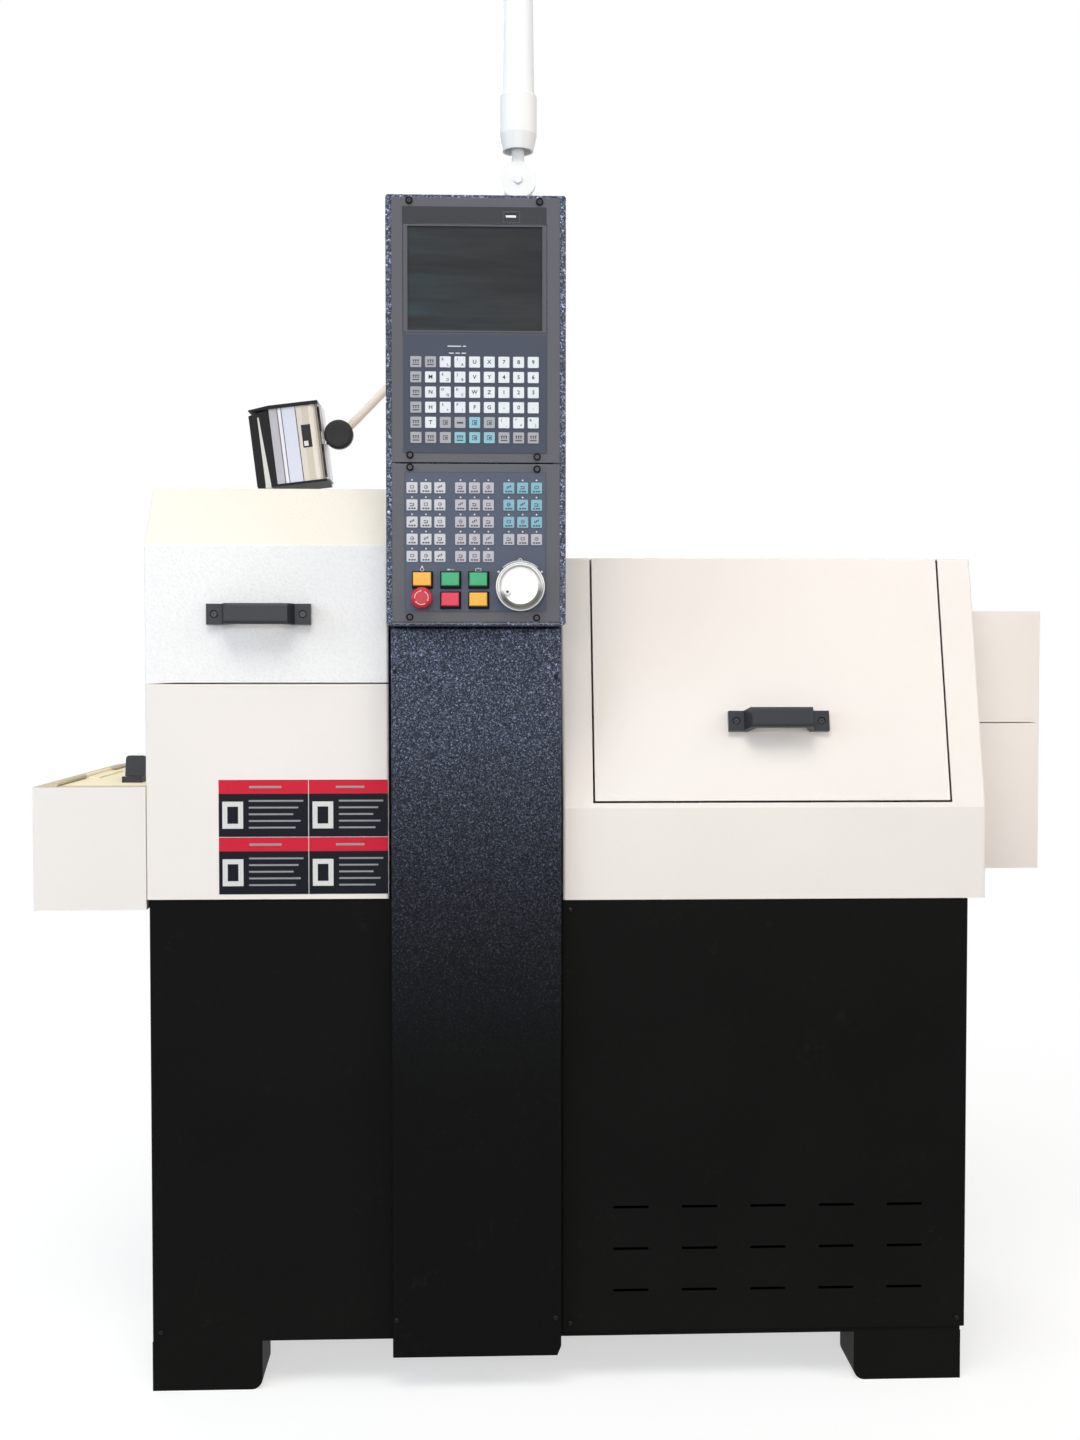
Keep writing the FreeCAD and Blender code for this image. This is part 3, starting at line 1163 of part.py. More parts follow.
def lamp_lower_arm():
    """Lower arm: post and collar on the base, rod, and the elbow's hub with its bolt."""
    x, z = LAMP_BASE
    back, front = lamp_planes()
    low = z + LAMP_SOCKET[1] + FACE_GAP
    radius, tall = LAMP_COLLAR
    post = rod_z(LAMP_POST_RADIUS, (z + 5, low + 5), x, LAMP_Y)
    collar = softened(rod_z(radius, (low, low + tall), x, LAMP_Y), 4, lambda p: p.z > low + tall - 1)
    crank = block(around(x, 18), (LAMP_Y - 8, back + LAMP_ROD), (low + 2, low + tall - 4))
    rod = lamp_rod((x, low + tall / 2 - 1), LAMP_ELBOW, back)
    hub = rod_y(LAMP_HUB_RADIUS, around(back, LAMP_HUB_LENGTH), *LAMP_ELBOW)
    bolt = rod_y(LAMP_BOLT_RADIUS, (front - LAMP_HUB_LENGTH / 2 - 4, back), *LAMP_ELBOW)
    return joined([post, collar, crank, rod, hub, bolt])


def lamp_upper_arm():
    """Upper arm: a hub at each end; the lower one carries the head's pivot bolt."""
    front = lamp_planes()[1]
    span = around(front, LAMP_HUB_LENGTH)
    rod = lamp_rod(LAMP_ELBOW, LAMP_PIVOT, front)
    hubs = [rod_y(LAMP_HUB_RADIUS, span, *spot) for spot in (LAMP_ELBOW, LAMP_PIVOT)]
    bolt = rod_y(LAMP_BOLT_RADIUS, (front - 1.2 * LAMP_HUB_LENGTH, front), *LAMP_PIVOT)
    elbow = rod_y(LAMP_BOLT_RADIUS + RUNNING_FIT, (span[0] - 1, span[1] + 1), *LAMP_ELBOW)
    return joined([rod] + hubs + [bolt]).cut(elbow)


def lamp_housing():
    """The head's extruded housing with its end plates, upright about the origin."""
    wide, deep, tall = LAMP_HEAD
    long, fall = LAMP_SHOULDER
    outline = [(-wide / 2, -tall / 2), (wide / 2, -tall / 2), (wide / 2, tall / 2),
               (long - wide / 2, tall / 2), (-wide / 2, tall / 2 - fall)]
    body = prism_y(outline, around(0, deep))
    body = softened(body, 16, lambda p: abs(p.z) < 1 and p.x > 0)
    inside = prism_y(inset(outline, [LAMP_WALL] * 5), around(0, deep - 2 * LAMP_WALL))
    half = LAMP_WALL / 2
    grooves = [block(around(place, LAMP_GROOVE_WIDTH), span, (-tall, tall)) for place in LAMP_GROOVES
               for span in ((-deep / 2 - 1, -deep / 2 + half), (deep / 2 - half, deep / 2 + 1))]
    upper, lower = LAMP_CAPS
    left, right = LAMP_CAP_SPAN
    top = prism_y([(left, tall / 2), (right, tall / 2), (right, tall / 2 + upper),
                   (left + long, tall / 2 + upper), (left, tall / 2 + upper / 3)], around(0, deep + 6))
    bottom = block((left, right), around(0, deep + 6), (-tall / 2 - lower, -tall / 2))
    return joined([body.cut([inside] + grooves), top, bottom])


def lamp_head():
    """Lamp head: its housing, on a stem from the hand knob that turns on the upper arm's bolt."""
    x, z = LAMP_PIVOT
    spot = (x + LAMP_HEAD_OFFSET[0], LAMP_Y, z + LAMP_HEAD_OFFSET[1])
    housing = placed(lamp_housing(), [((0, 1, 0), -LAMP_TILT)], spot)
    knob_y = lamp_planes()[1] - LAMP_HUB_LENGTH - FACE_GAP
    knob = rod_y(LAMP_KNOB_RADIUS, around(knob_y, LAMP_HUB_LENGTH), x, z)
    stem = block((x - 30, x), around(knob_y, LAMP_HUB_LENGTH - 6), around(z - 6, 20))
    bore = rod_y(LAMP_BOLT_RADIUS + RUNNING_FIT,
                 (knob_y - 0.3 * LAMP_HUB_LENGTH, knob_y + LAMP_HUB_LENGTH), x, z)
    return joined([housing, knob, stem]).cut(bore)


# ======== tower light ========

def tower_light_foot():
    """Folding foot's fixed half: a flanged plate on the box and an ear behind the stem's disc."""
    wide, deep, thick = TOWER_PLATE
    back = TOWER_Y + TOWER_DISC_LENGTH / 2 + FACE_GAP
    y = (back, back + TOWER_EAR)
    plate = softened(block(around(TOWER_X, wide), around(TOWER_Y + 8, deep), (BOX_TOP, BOX_TOP + thick)), 8,
                     lambda p: BOX_TOP + 1 < p.z < BOX_TOP + thick - 1)
    ear = joined([block(around(TOWER_X, 40), y, (BOX_TOP + thick - 1, TOWER_HINGE_Z)),
                  rod_y(20, y, TOWER_X, TOWER_HINGE_Z)])
    bolt = rod_y(5, (TOWER_Y - TOWER_DISC_LENGTH / 2 - 3, y[1]), TOWER_X, TOWER_HINGE_Z)
    return joined([plate, ear, bolt])


def tower_light_stem():
    """Folding disc, neck and cup, moulded as one."""
    span = around(TOWER_Y, TOWER_DISC_LENGTH)
    disc = rod_y(TOWER_DISC_RADIUS, span, TOWER_X, TOWER_HINGE_Z)
    neck = rod_z(TOWER_NECK_RADIUS, (TOWER_HINGE_Z + 15, CUP_BOTTOM + 12), TOWER_X, TOWER_Y)
    mouth = CUP_RADIUS - 5
    cup = turned([(CUP_BOTTOM, mouth), (CUP_BOTTOM + 22, CUP_RADIUS), (CUP_TOP, CUP_RADIUS),
                  (CUP_TOP, 0), (CUP_BOTTOM + 8, 0), (CUP_BOTTOM + 8, mouth - CUP_WALL),
                  (CUP_BOTTOM, mouth - CUP_WALL)], V(TOWER_X, TOWER_Y, 0), (0, 0, 1))
    cup = softened(cup, 3.0, lambda p: p.z > CUP_TOP - 1)
    bolt_hole = rod_y(5 + RUNNING_FIT, (span[0] - 1, span[1] + 1), TOWER_X, TOWER_HINGE_Z)
    return joined([disc, neck, cup]).cut(bolt_hole)


def tower_light_lens():
    """Slightly tapered signal tube on the cup, closed by a crowned cap."""
    outline = [(CUP_TOP, 0), (CUP_TOP, LENS_RADIUS), (LENS_TOP, LENS_TOP_RADIUS), (LENS_TOP, 0)]
    tube = turned(outline, V(TOWER_X, TOWER_Y, 0), (0, 0, 1))
    return softened(tube, 8.0, lambda p: p.z > LENS_TOP - 1)


# ======== the whole machine ========

def machine():
    """Every piece by its node's name, in the drawing's own place."""
    pieces = {
        "base_cabinet": base_cabinet(),
        "front_access_panel": front_access_panel(),
        "plinth_feet": plinth_feet(),
        "coolant_tank": coolant_tank(),
        "servo_drives": servo_drives(),
        "column_cover": column_cover(),
        "panel_housing": panel_housing(),
        "upper_panel_plate": upper_panel_plate(),
        "lower_panel_plate": lower_panel_plate(),
        "display_screen": display_screen(),
        "keypad_films": keypad_films(),
        "emergency_stop": emergency_stop(),
        "handwheel": handwheel(),
        "handwheel_knob": handwheel_knob(),
        "headstock_housing": headstock_housing(),
        "headstock_lid": headstock_lid(),
        "headstock_lid_handle": lid_handle(),
        "centre_cover": centre_cover(),
        "work_area_enclosure": work_area_enclosure(),
        "work_door": work_door(),
        "work_door_handle": door_handle(),
        "left_end_box": left_end_box(),
        "end_box_lid": end_box_lid(),
        "end_box_lid_handle": end_handle(),
        "right_end_cover_lower": right_cover(LOWER_COVER),
        "right_end_cover_upper": right_cover(UPPER_COVER),
        "hinge_pins": hinge_pins(),
        "bed": bed(),
        "headstock": headstock(),
        "spindle_bearings": spindle_bearings(),
        "spindle": spindle(),
        "collet_chuck": collet_chuck(),
        "collet": collet(),
        "spindle_pulley": spindle_pulley(),
        "motor_pulley": motor_pulley(),
        "drive_belt": drive_belt(),
        "spindle_motor": spindle_motor(),
        "z_rails": z_rails(),
        "z_screw_supports": z_screw_supports(),
        "z_ballscrew": z_ballscrew(),
        "z_axis_motor": z_axis_motor(),
        "z_saddle": z_saddle(),
        "x_rails": x_rails(),
        "x_ballscrew": x_ballscrew(),
        "x_axis_motor": x_axis_motor(),
        "cross_slide": cross_slide(),
        "tool_holders": tool_holders(),
        "lamp_base": lamp_base(),
        "lamp_lower_arm": lamp_lower_arm(),
        "lamp_upper_arm": lamp_upper_arm(),
        "lamp_head": lamp_head(),
        "tower_light_foot": tower_light_foot(),
        "tower_light_stem": tower_light_stem(),
        "tower_light_lens": tower_light_lens(),
    }
    for name, centre in BUTTONS.items():
        pieces[name] = push_button(centre)
    return pieces


def footprint_middle(pieces):
    """The shift that brings the middle of the footprint to the origin."""
    bounds = group(list(pieces.values())).BoundBox
    return V(-(bounds.XMin + bounds.XMax) / 2, -(bounds.YMin + bounds.YMax) / 2, -bounds.ZMin)


def main():
    os.makedirs("parts", exist_ok=True)
    pieces = machine()
    shift = footprint_middle(pieces)
    for name, shape in pieces.items():
        shape.translate(shift)
        shape.exportStep(f"parts/{name}.step")
        print(name, len(shape.Solids), "valid" if shape.isValid() else "INVALID")
    print("shift", shift, "pieces", len(pieces))


if __name__ == "__main__":
    main()
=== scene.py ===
import json
import math
from contextlib import contextmanager

import bmesh
import bpy
from bpy.props import FloatProperty, FloatVectorProperty, IntProperty, PointerProperty
from bpy.types import Operator, Panel, PropertyGroup
from mathutils import Euler, Matrix, Vector


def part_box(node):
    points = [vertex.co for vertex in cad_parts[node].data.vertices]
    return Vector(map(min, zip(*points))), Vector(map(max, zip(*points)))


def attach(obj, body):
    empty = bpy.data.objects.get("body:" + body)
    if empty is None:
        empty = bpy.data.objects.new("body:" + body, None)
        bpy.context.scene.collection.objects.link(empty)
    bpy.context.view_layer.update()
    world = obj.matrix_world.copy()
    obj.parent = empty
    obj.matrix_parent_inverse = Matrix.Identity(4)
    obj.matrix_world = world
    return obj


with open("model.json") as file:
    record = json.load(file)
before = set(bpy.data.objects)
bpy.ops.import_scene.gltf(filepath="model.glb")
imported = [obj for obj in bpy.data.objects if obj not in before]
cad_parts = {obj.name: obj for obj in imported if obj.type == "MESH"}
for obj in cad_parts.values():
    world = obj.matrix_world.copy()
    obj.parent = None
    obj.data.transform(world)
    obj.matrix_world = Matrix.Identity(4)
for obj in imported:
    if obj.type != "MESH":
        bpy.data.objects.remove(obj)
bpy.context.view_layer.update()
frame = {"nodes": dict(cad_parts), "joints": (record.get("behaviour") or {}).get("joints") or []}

bl_info = {
    "name": "Turning lathe finish",
    "version": (1, 0, 0),
    "blender": (4, 5, 0),
    "location": "3D View > Sidebar > Lathe",
    "description": "Finishes, controls and small parts of a small gang-tool turning lathe",
    "category": "Object",
}

MM = 0.001


# ======== places read from the frame, in metres ========

def middle_of(node):
    """The middle of a node's box."""
    low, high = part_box(node)
    return (low + high) / 2


def joint_spot(name):
    """The stated place of a joint in the frame."""
    return Vector(next(joint["pos_m"] for joint in frame["joints"] if joint["name"] == name))


def points_near(node, centre, least, most):
    """A node's vertices whose distance from a centre, seen from the front, lies between two radii."""
    return [v.co for v in frame["nodes"][node].data.vertices
            if least <= math.hypot(v.co.x - centre.x, v.co.z - centre.z) < most]


PLATE_LOW, PLATE_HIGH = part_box("upper_panel_plate")
PANEL_X = (PLATE_LOW.x + PLATE_HIGH.x) / 2
SEAM = PLATE_LOW.z            # height of the seam between the two control plates
DIAL_LOW, DIAL_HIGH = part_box("handwheel")
DIAL_CENTRE = (DIAL_LOW + DIAL_HIGH) / 2
DIAL_REACH = (DIAL_HIGH.x - DIAL_LOW.x) / 2
END_BOX_TOP = 0.859           # height of the left end box's flange
LID_BEND_Z = 1.1972           # height where the headstock lid's front bends into its slope
LAMP_PIVOT = joint_spot("lamp_head_tilt")
LAMP_TILT = math.radians(7.0)
LAMP_SIZE = Vector((0.118, 0.092, 0.122))
LAMP_MIDDLE = LAMP_PIVOT + Vector((-0.080, 0.0, -0.020))
LAMP_MIDDLE.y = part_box("lamp_head")[1].y - LAMP_SIZE.y / 2 - 0.003


# ======== user values ========

def length(name, millimetres, text):
    """A length setting given in millimetres."""
    return FloatProperty(name=name, default=millimetres * MM, unit="LENGTH", description=text)


def turn(name, degrees, text):
    """An angle setting given in degrees."""
    return FloatProperty(name=name, default=math.radians(degrees), unit="ROTATION", description=text)


def colour(name, rgb, text):
    """A colour setting in linear light."""
    return FloatVectorProperty(name=name, subtype="COLOR", size=3, min=0.0, max=1.0, default=rgb,
                               description=text)


class LatheColours(PropertyGroup):
    cream: colour("Cream paint", (0.84, 0.785, 0.745), "Powder coat of the covers")
    white: colour("White paint", (0.845, 0.83, 0.825), "Textured front of the headstock lid")
    # slope: cream warmed as painted warm light from above on the lid's sloped top
    slope: colour("Warm cream", (0.83, 0.775, 0.675), "Sloped top of the headstock lid")
    # shelf: cream warmed and lightened as painted warm light from above on the end box's upward top
    shelf: colour("Shelf cream", (0.90, 0.81, 0.61), "Lid of the left end box")
    black: colour("Black paint", (0.0060, 0.0062, 0.0058), "Powder coat of the base cabinet")
    hammer: colour("Hammer paint", (0.0056, 0.0058, 0.0056), "Ground of the column's textured paint")
    fleck: colour("Hammer flecks", (0.46, 0.53, 0.76), "Raised flecks of the column's paint")
    plate: colour("Panel plates", (0.078, 0.082, 0.095), "Grey of the control plates")
    film: colour("Keypad film", (0.052, 0.062, 0.088), "Blue-grey of the keypad films")
    band: colour("Top band", (0.030, 0.031, 0.038), "Band over the display")
    screen: colour("Display", (0.0175, 0.0190, 0.0205), "Switched-off display")
    key_white: colour("White keys", (0.72, 0.75, 0.79), "Pale key pads")
    key_soft: colour("Soft white keys", (0.58, 0.59, 0.63), "Left group of operator keys")
    key_grey: colour("Grey keys", (0.37, 0.375, 0.41), "Grey key pads")
    key_pale: colour("Pale keys", (0.48, 0.47, 0.53), "Middle group of operator keys")
    key_tint: colour("Tinted keys", (0.22, 0.44, 0.53), "Right group of operator keys")
    key_cyan: colour("Cyan keys", (0.24, 0.49, 0.57), "Blue-green key pads")
    orange: colour("Orange", (0.90, 0.43, 0.040), "Orange push buttons")
    green: colour("Green", (0.025, 0.36, 0.15), "Green push buttons")
    red: colour("Red", (0.70, 0.028, 0.065), "Red push button")
    stop: colour("Stop red", (0.52, 0.018, 0.040), "Emergency stop")
    decal_red: colour("Decal red", (0.70, 0.022, 0.050), "Bands of the decal")
    decal_dark: colour("Decal dark", (0.009, 0.010, 0.016), "Fields of the decal")


class LatheSizes(PropertyGroup):
    key: length("Key", 14.2, "Side of a key pad")
    key_raise: length("Key height", 1.0, "How far a key pad stands off its film")
    key_corner: length("Key corner", 1.2, "Corner radius of a key pad")
    panel_screw: length("Panel screw", 7.4, "Head diameter of the control panel's socket screws")
    cover_screw: length("Cover screw", 6.2, "Head diameter of the column's button-head screws")
    dial_ticks: IntProperty(name="Dial ticks", default=100, min=20, max=200,
                            description="Divisions round the pulse dial")


class LatheCamera(PropertyGroup):
    distance: length("Distance", 2278.0, "From the covers' front to the lens")
    height: length("Height", 1027.75, "Of the lens over the floor")
    offset: length("Offset", 3.94, "Of the lens to the right of the column's middle")
    yaw: turn("Yaw", 2.15, "Turned to the right")
    pitch: turn("Pitch", 1.9, "Tilted down")
    focal: FloatProperty(name="Focal length", default=40.425, description="In millimetres on a 36 mm sensor")


GROUPS = {"lathe_colours": LatheColours, "lathe_sizes": LatheSizes, "lathe_camera": LatheCamera}


def sizes():
    """The size settings."""
    return bpy.context.scene.lathe_sizes


def tone(value, factor=1.0):
    """A user colour by its name, or a colour itself, made lighter or darker."""
    rgb = getattr(bpy.context.scene.lathe_colours, value) if isinstance(value, str) else value
    return tuple(min(1.0, channel * factor) for channel in rgb)


# ======== mesh helpers ========

FRONT_TILT = (math.radians(90), 0.0, 0.0)
FACING_FRONT = Euler(FRONT_TILT).to_matrix().to_4x4()
SHARP = math.radians(35)      # edges sharper than this stay edges on a smooth piece


def linked(name, data):
    """A new object of the scene's collection."""
    thing = bpy.data.objects.new(name, data)
    bpy.context.scene.collection.objects.link(thing)
    return thing


def object_from(name, bm, smooth=False):
    """A new object at the origin from a bmesh, which is freed; smooth rounds all but the sharp edges."""
    bmesh.ops.recalc_face_normals(bm, faces=bm.faces)
    bm.normal_update()
    if smooth:
        for face in bm.faces:
            face.smooth = True
        for edge in bm.edges:
            edge.smooth = len(edge.link_faces) == 2 and edge.calc_face_angle(0.0) < SHARP
    mesh = bpy.data.meshes.new(name)
    bm.to_mesh(mesh)
    bm.free()
    return linked(name, mesh)


@contextmanager
def new_piece(name, finish, body="base", smooth=False):
    """Gives a bmesh to fill, which then becomes a finished piece that rides a body."""
    bm = bmesh.new()
    yield bm
    piece = object_from(name, bm, smooth)
    piece.data.materials.append(finish_of(finish))
    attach(piece, body)


def add_box(bm, low, high, bevel=0.0):
    """Adds a box between two corners, its edges cut back by bevel."""
    low, high = Vector(low), Vector(high)
    made = bmesh.ops.create_cube(bm, size=1.0)
    matrix = Matrix.Translation((low + high) / 2) @ Matrix.Diagonal((*(high - low), 1.0))
    bmesh.ops.transform(bm, matrix=matrix, verts=made["verts"])
    if bevel:
        edges = list({e for v in made["verts"] for e in v.link_edges})
        bmesh.ops.bevel(bm, geom=edges, offset=bevel, segments=1, affect="EDGES", profile=0.5)


def add_turned(bm, outline, centre, axis, steps):
    """Adds a revolved (along, radius) outline about an axis through centre; a radius of 0 closes it."""
    axis = Vector(axis).normalized()
    side = axis.orthogonal().normalized()
    other = axis.cross(side)
    rings = []
    for along, radius in outline:
        base = Vector(centre) + axis * along
        angles = [math.tau * i / steps for i in range(steps if radius else 1)]
        rings.append([bm.verts.new(base + side * radius * math.cos(t) + other * radius * math.sin(t))
                      for t in angles])
    for a, b in zip(rings, rings[1:]):
        for i in range(steps):
            quad = [a[i % len(a)], a[(i + 1) % len(a)], b[(i + 1) % len(b)], b[i % len(b)]]
            corners = list(dict.fromkeys(quad))
            if len(corners) > 2:
                bm.faces.new(corners)


def add_outline_plate(bm, points, thickness, place):
    """Adds a plate from an (x, y) outline, its back on z = 0, put in place by a matrix."""
    front = [bm.verts.new(place @ Vector((x, y, thickness))) for x, y in points]
    back = [bm.verts.new(place @ Vector((x, y, 0.0))) for x, y in points]
    bm.faces.new(front)
    bm.faces.new(back[::-1])
    for i in range(len(points)):
        j = (i + 1) % len(points)
        bm.faces.new([front[i], back[i], back[j], front[j]])


def rectangle(wide, tall, radius, steps=4):
    """Rectangular outline about the origin, its corners rounded unless the radius is 0."""
    points = []
    for cx, cy, start in ((1, 1, 0), (-1, 1, 90), (-1, -1, 180), (1, -1, 270)):
        for i in range(steps + 1 if radius else 1):
            t = math.radians(start + 90 * i / steps)
            points.append((cx * (wide / 2 - radius) + radius * math.cos(t),
                           cy * (tall / 2 - radius) + radius * math.sin(t)))
    return points


# ======== node helpers ========

class Wiring:
    """Short ways to add and join nodes in one tree, of shaders or of geometry."""

    def __init__(self, tree):
        self.tree = tree

    def node(self, kind, **values):
        """Adds a node; a value is one of its settings, or goes to the input of that name."""
        made = self.tree.nodes.new(kind)
        self.fill(made, **values)
        return made

    def fill(self, made, **values):
        """Gives a node its settings and inputs by their names."""
        for key, value in values.items():
            if hasattr(made, key):
                setattr(made, key, value)
            else:
                self.feed(made.inputs[key.replace("_", " ")], value)

    def feed(self, socket, value):
        """Joins a socket to another, or sets it to a constant."""
        if isinstance(value, bpy.types.NodeSocket):
            self.tree.links.new(value, socket)
        else:
            socket.default_value = (*value, 1.0) if socket.type == "RGBA" else value

    def get(self, kind, **values):
        """Adds a node and gives its first output."""
        return self.node(kind, **values).outputs[0]

    def math(self, operation, first, second=0.0, clamp=False):
        """The outcome of one sum on two values."""
        made = self.node("ShaderNodeMath", operation=operation, use_clamp=clamp)
        self.feed(made.inputs[0], first)
        self.feed(made.inputs[1], second)
        return made.outputs[0]

    def plus(self, first, second):
        return self.math("ADD", first, second)

    def minus(self, first, second, clamp=False):
        return self.math("SUBTRACT", first, second, clamp)

    def times(self, first, second):
        return self.math("MULTIPLY", first, second)

    def over(self, first, second):
        return self.math("DIVIDE", first, second)

    def vector(self, operation, first, second=(0.0, 0.0, 0.0)):
        """The outcome of one sum on two vectors."""
        made = self.node("ShaderNodeVectorMath", operation=operation)
        self.feed(made.inputs[0], first)
        self.feed(made.inputs[1], second)
        return made.outputs["Value" if operation in ("LENGTH", "DOT_PRODUCT") else "Vector"]

    def point(self):
        """The place in the object's own coordinates."""
        return self.node("ShaderNodeTexCoord").outputs["Object"]

    def split(self, place):
        """The x, y and z of a vector."""
        return self.node("ShaderNodeSeparateXYZ", Vector=place).outputs

    def mix(self, factor, first, second):
        """A colour mix of two colours or colour sockets."""
        made = self.node("ShaderNodeMix", data_type="RGBA")
        for index, value in ((0, factor), (6, first), (7, second)):
            self.feed(made.inputs[index], value)
        return made.outputs[2]

    def ramp(self, factor, low, high):
        """0 below low, 1 above high, straight between."""
        return self.get("ShaderNodeMapRange", clamp=True, Value=factor, From_Min=low, From_Max=high)

    def within(self, value, low, high, soft=0.0002):
        """1 between low and high, 0 outside, with soft edges."""
        above = self.ramp(value, low - soft, low + soft)
        return self.times(above, self.ramp(value, high + soft, high - soft))

    def group(self, name, **values):
        """Places a shared group of masks, built once, with its own values; gives its outputs."""
        tree = bpy.data.node_groups.get(name) or build_mask(name)
        return self.node("ShaderNodeGroup", node_tree=tree, **values).outputs

    def bump(self, shader, height, strength, distance):
        """Feeds a height into the shader's normal."""
        normal = self.get("ShaderNodeBump", Strength=strength, Distance=distance, Height=height)
        self.feed(shader.inputs["Normal"], normal)


# ======== shared masks ========

def orange_peel(s, given):
    """Lumpy flow of sprayed powder coat: broad cells with fine grain, and a slow mottle."""
    place = s.point()
    lumps = s.node("ShaderNodeTexVoronoi", feature="SMOOTH_F1", Vector=place, Scale=given["Scale"])
    fine = s.get("ShaderNodeTexNoise", Detail=3.0, Vector=place, Scale=s.times(given["Scale"], 2.7))
    slow = s.get("ShaderNodeTexNoise", Scale=5.0, Detail=4.0, Vector=place)
    return {"Height": s.plus(lumps.outputs["Distance"], s.times(fine, given["Grain"])), "Mottle": slow}


def handling_wear(s, given):
    """Faint rubbed patches, and dust that gathers towards the floor."""
    place, scale = s.point(), given["Scale"]
    smear = s.get("ShaderNodeTexNoise", Detail=6.0, Roughness=0.62, Vector=place, Scale=scale)
    scuff = s.get("ShaderNodeTexNoise", Detail=5.0, Distortion=1.2, Vector=place, Scale=s.times(scale, 6.0))
    rubbed = s.times(s.ramp(smear, 0.52, 0.75), s.ramp(scuff, 0.55, 0.72))
    fade = s.minus(1.0, s.over(s.split(place)["Z"], DUST_HEIGHT), True)
    return {"Wear": s.times(rubbed, given["Amount"]), "Dust": s.times(fade, smear)}


def paint_flecks(s, given):
    """Irregular raised flecks of two-tone textured paint."""
    place, scale = s.point(), given["Scale"]
    cells = s.node("ShaderNodeTexVoronoi", feature="F1", Randomness=1.0, Vector=place, Scale=scale)
    blobs = s.get("ShaderNodeTexNoise", Detail=4.0, Roughness=0.7, Vector=place, Scale=s.times(scale, 0.55))
    spark = s.ramp(s.get("ShaderNodeSeparateColor", Color=cells.outputs["Color"]), 0.55, 0.95)
    lump = s.ramp(blobs, 0.45, 0.62)
    return {"Fleck": s.times(s.times(spark, lump), given["Cover"]),
            "Height": s.plus(lump, s.times(cells.outputs["Distance"], -0.6))}


def brushing(s, given):
    """Fine parallel grinding lines along X, for turned and ground metal."""
    factors = s.get("ShaderNodeCombineXYZ", X=s.over(1.0, given["Stretch"]), Y=1.0, Z=1.0)
    squeezed = s.vector("MULTIPLY", s.point(), factors)
    return {"Lines": s.get("ShaderNodeTexNoise", Detail=2.0, Vector=squeezed, Scale=900.0)}


DUST_HEIGHT = 0.25            # how far up from the floor the dust reaches
# each mask's builder, and what it takes where a finish gives no value of its own
MASKS = {
    "orange_peel": (orange_peel, {"Scale": 300.0, "Grain": 0.3}),
    "handling_wear": (handling_wear, {"Scale": 14.0, "Amount": 0.3}),
    "paint_flecks": (paint_flecks, {"Scale": 420.0, "Cover": 0.5}),
    "brushing": (brushing, {"Stretch": 30.0}),
}


def build_mask(name):
    """Builds a shared shader group that takes and gives only values."""
    build, inputs = MASKS[name]
    tree = bpy.data.node_groups.new(name, "ShaderNodeTree")
    for text, default in inputs.items():
        socket = tree.interface.new_socket(name=text, in_out="INPUT", socket_type="NodeSocketFloat")
        socket.default_value = default
    s = Wiring(tree)
    results = build(s, s.node("NodeGroupInput").outputs)
    for text in results:
        tree.interface.new_socket(name=text, in_out="OUTPUT", socket_type="NodeSocketFloat")
    s.node("NodeGroupOutput", **results)
    return tree


# ======== materials ========

DUST = (0.34, 0.31, 0.27)


def coarse_coat(s, shader, ground, peel, strength, roughness, wear, dust, gloss=0.5):
    """Orange-peel coat or painted casting: lumps, slow mottle, rubbed patches and floor dust."""
    flow = s.group("orange_peel", Scale=peel)
    worn = s.group("handling_wear", Amount=wear)
    mottled = s.mix(flow["Mottle"], tone(ground, 0.85), tone(ground, 1.25))
    settled = s.mix(s.times(worn["Dust"], dust), mottled, DUST)
    shine = s.plus(roughness, s.times(worn["Wear"], 0.3))
    s.fill(shader, Base_Color=s.mix(worn["Wear"], settled, DUST), Specular_IOR_Level=gloss,
           Roughness=s.plus(shine, s.times(flow["Mottle"], 0.08)))
    s.bump(shader, flow["Height"], strength, 0.0006)


def cream_paint(s, shader, base="cream", shade=1.0, gloss=0.25, rim=None):
    """Semi-gloss powder coat of the covers; above the height rim it takes the shelf tone made darker, whose
    warmth is painted warm light from above.
    """
    flow = s.group("orange_peel", Scale=260.0)
    worn = s.group("handling_wear", Amount=0.12)
    paint = s.mix(flow["Mottle"], tone(base, shade), tone(base, 0.94 * shade))
    paint = s.mix(worn["Wear"], paint, tone(base, 0.72 * shade))
    if rim:
        above = s.ramp(s.split(s.point())["Z"], rim - 0.0006, rim - 0.0002)
        # the flange's top: shelf tone made darker, its warmth painted warm light from above
        paint = s.mix(above, paint, tone("shelf", FLANGE_DARKENING))
    s.fill(shader, Base_Color=paint, Specular_IOR_Level=gloss,
           Roughness=s.plus(0.42, s.times(flow["Mottle"], 0.14)))
    s.bump(shader, flow["Height"], 0.10, 0.0006)


def lid_paint(s, shader):
    """The headstock lid: white orange-peel front below the bend, cream slope above it whose warmer tone is
    painted warm light from above.
    """
    flow = s.group("orange_peel", Scale=260.0, Grain=0.5)
    worn = s.group("handling_wear", Amount=0.12)
    slope = s.ramp(s.split(s.point())["Z"], LID_BEND_Z - 0.001, LID_BEND_Z + 0.001)
    white = s.mix(s.ramp(flow["Height"], 0.25, 0.75), tone("white", 0.93), tone("white"))
    # the slope's warmer tone is painted warm light from above
    paint = s.mix(slope, white, tone("slope"))
    s.fill(shader, Base_Color=s.mix(worn["Wear"], paint, tone("cream", 0.7)),
           Roughness=s.plus(0.34, s.times(flow["Mottle"], 0.15)))
    s.bump(shader, flow["Height"], 0.45, 0.0008)


FLECK_SHEEN_FADE = (0.40, 1.09)     # painted sheen: heights between which the column's flecks and the tone between them brighten to full
FLECK_SHEEN_BEND = 2.15             # how strongly the painted sheen gathers at the top
FLECK_SHEEN_GROUND = 0.07           # painted sheen: how much fleck tone lies between the flecks
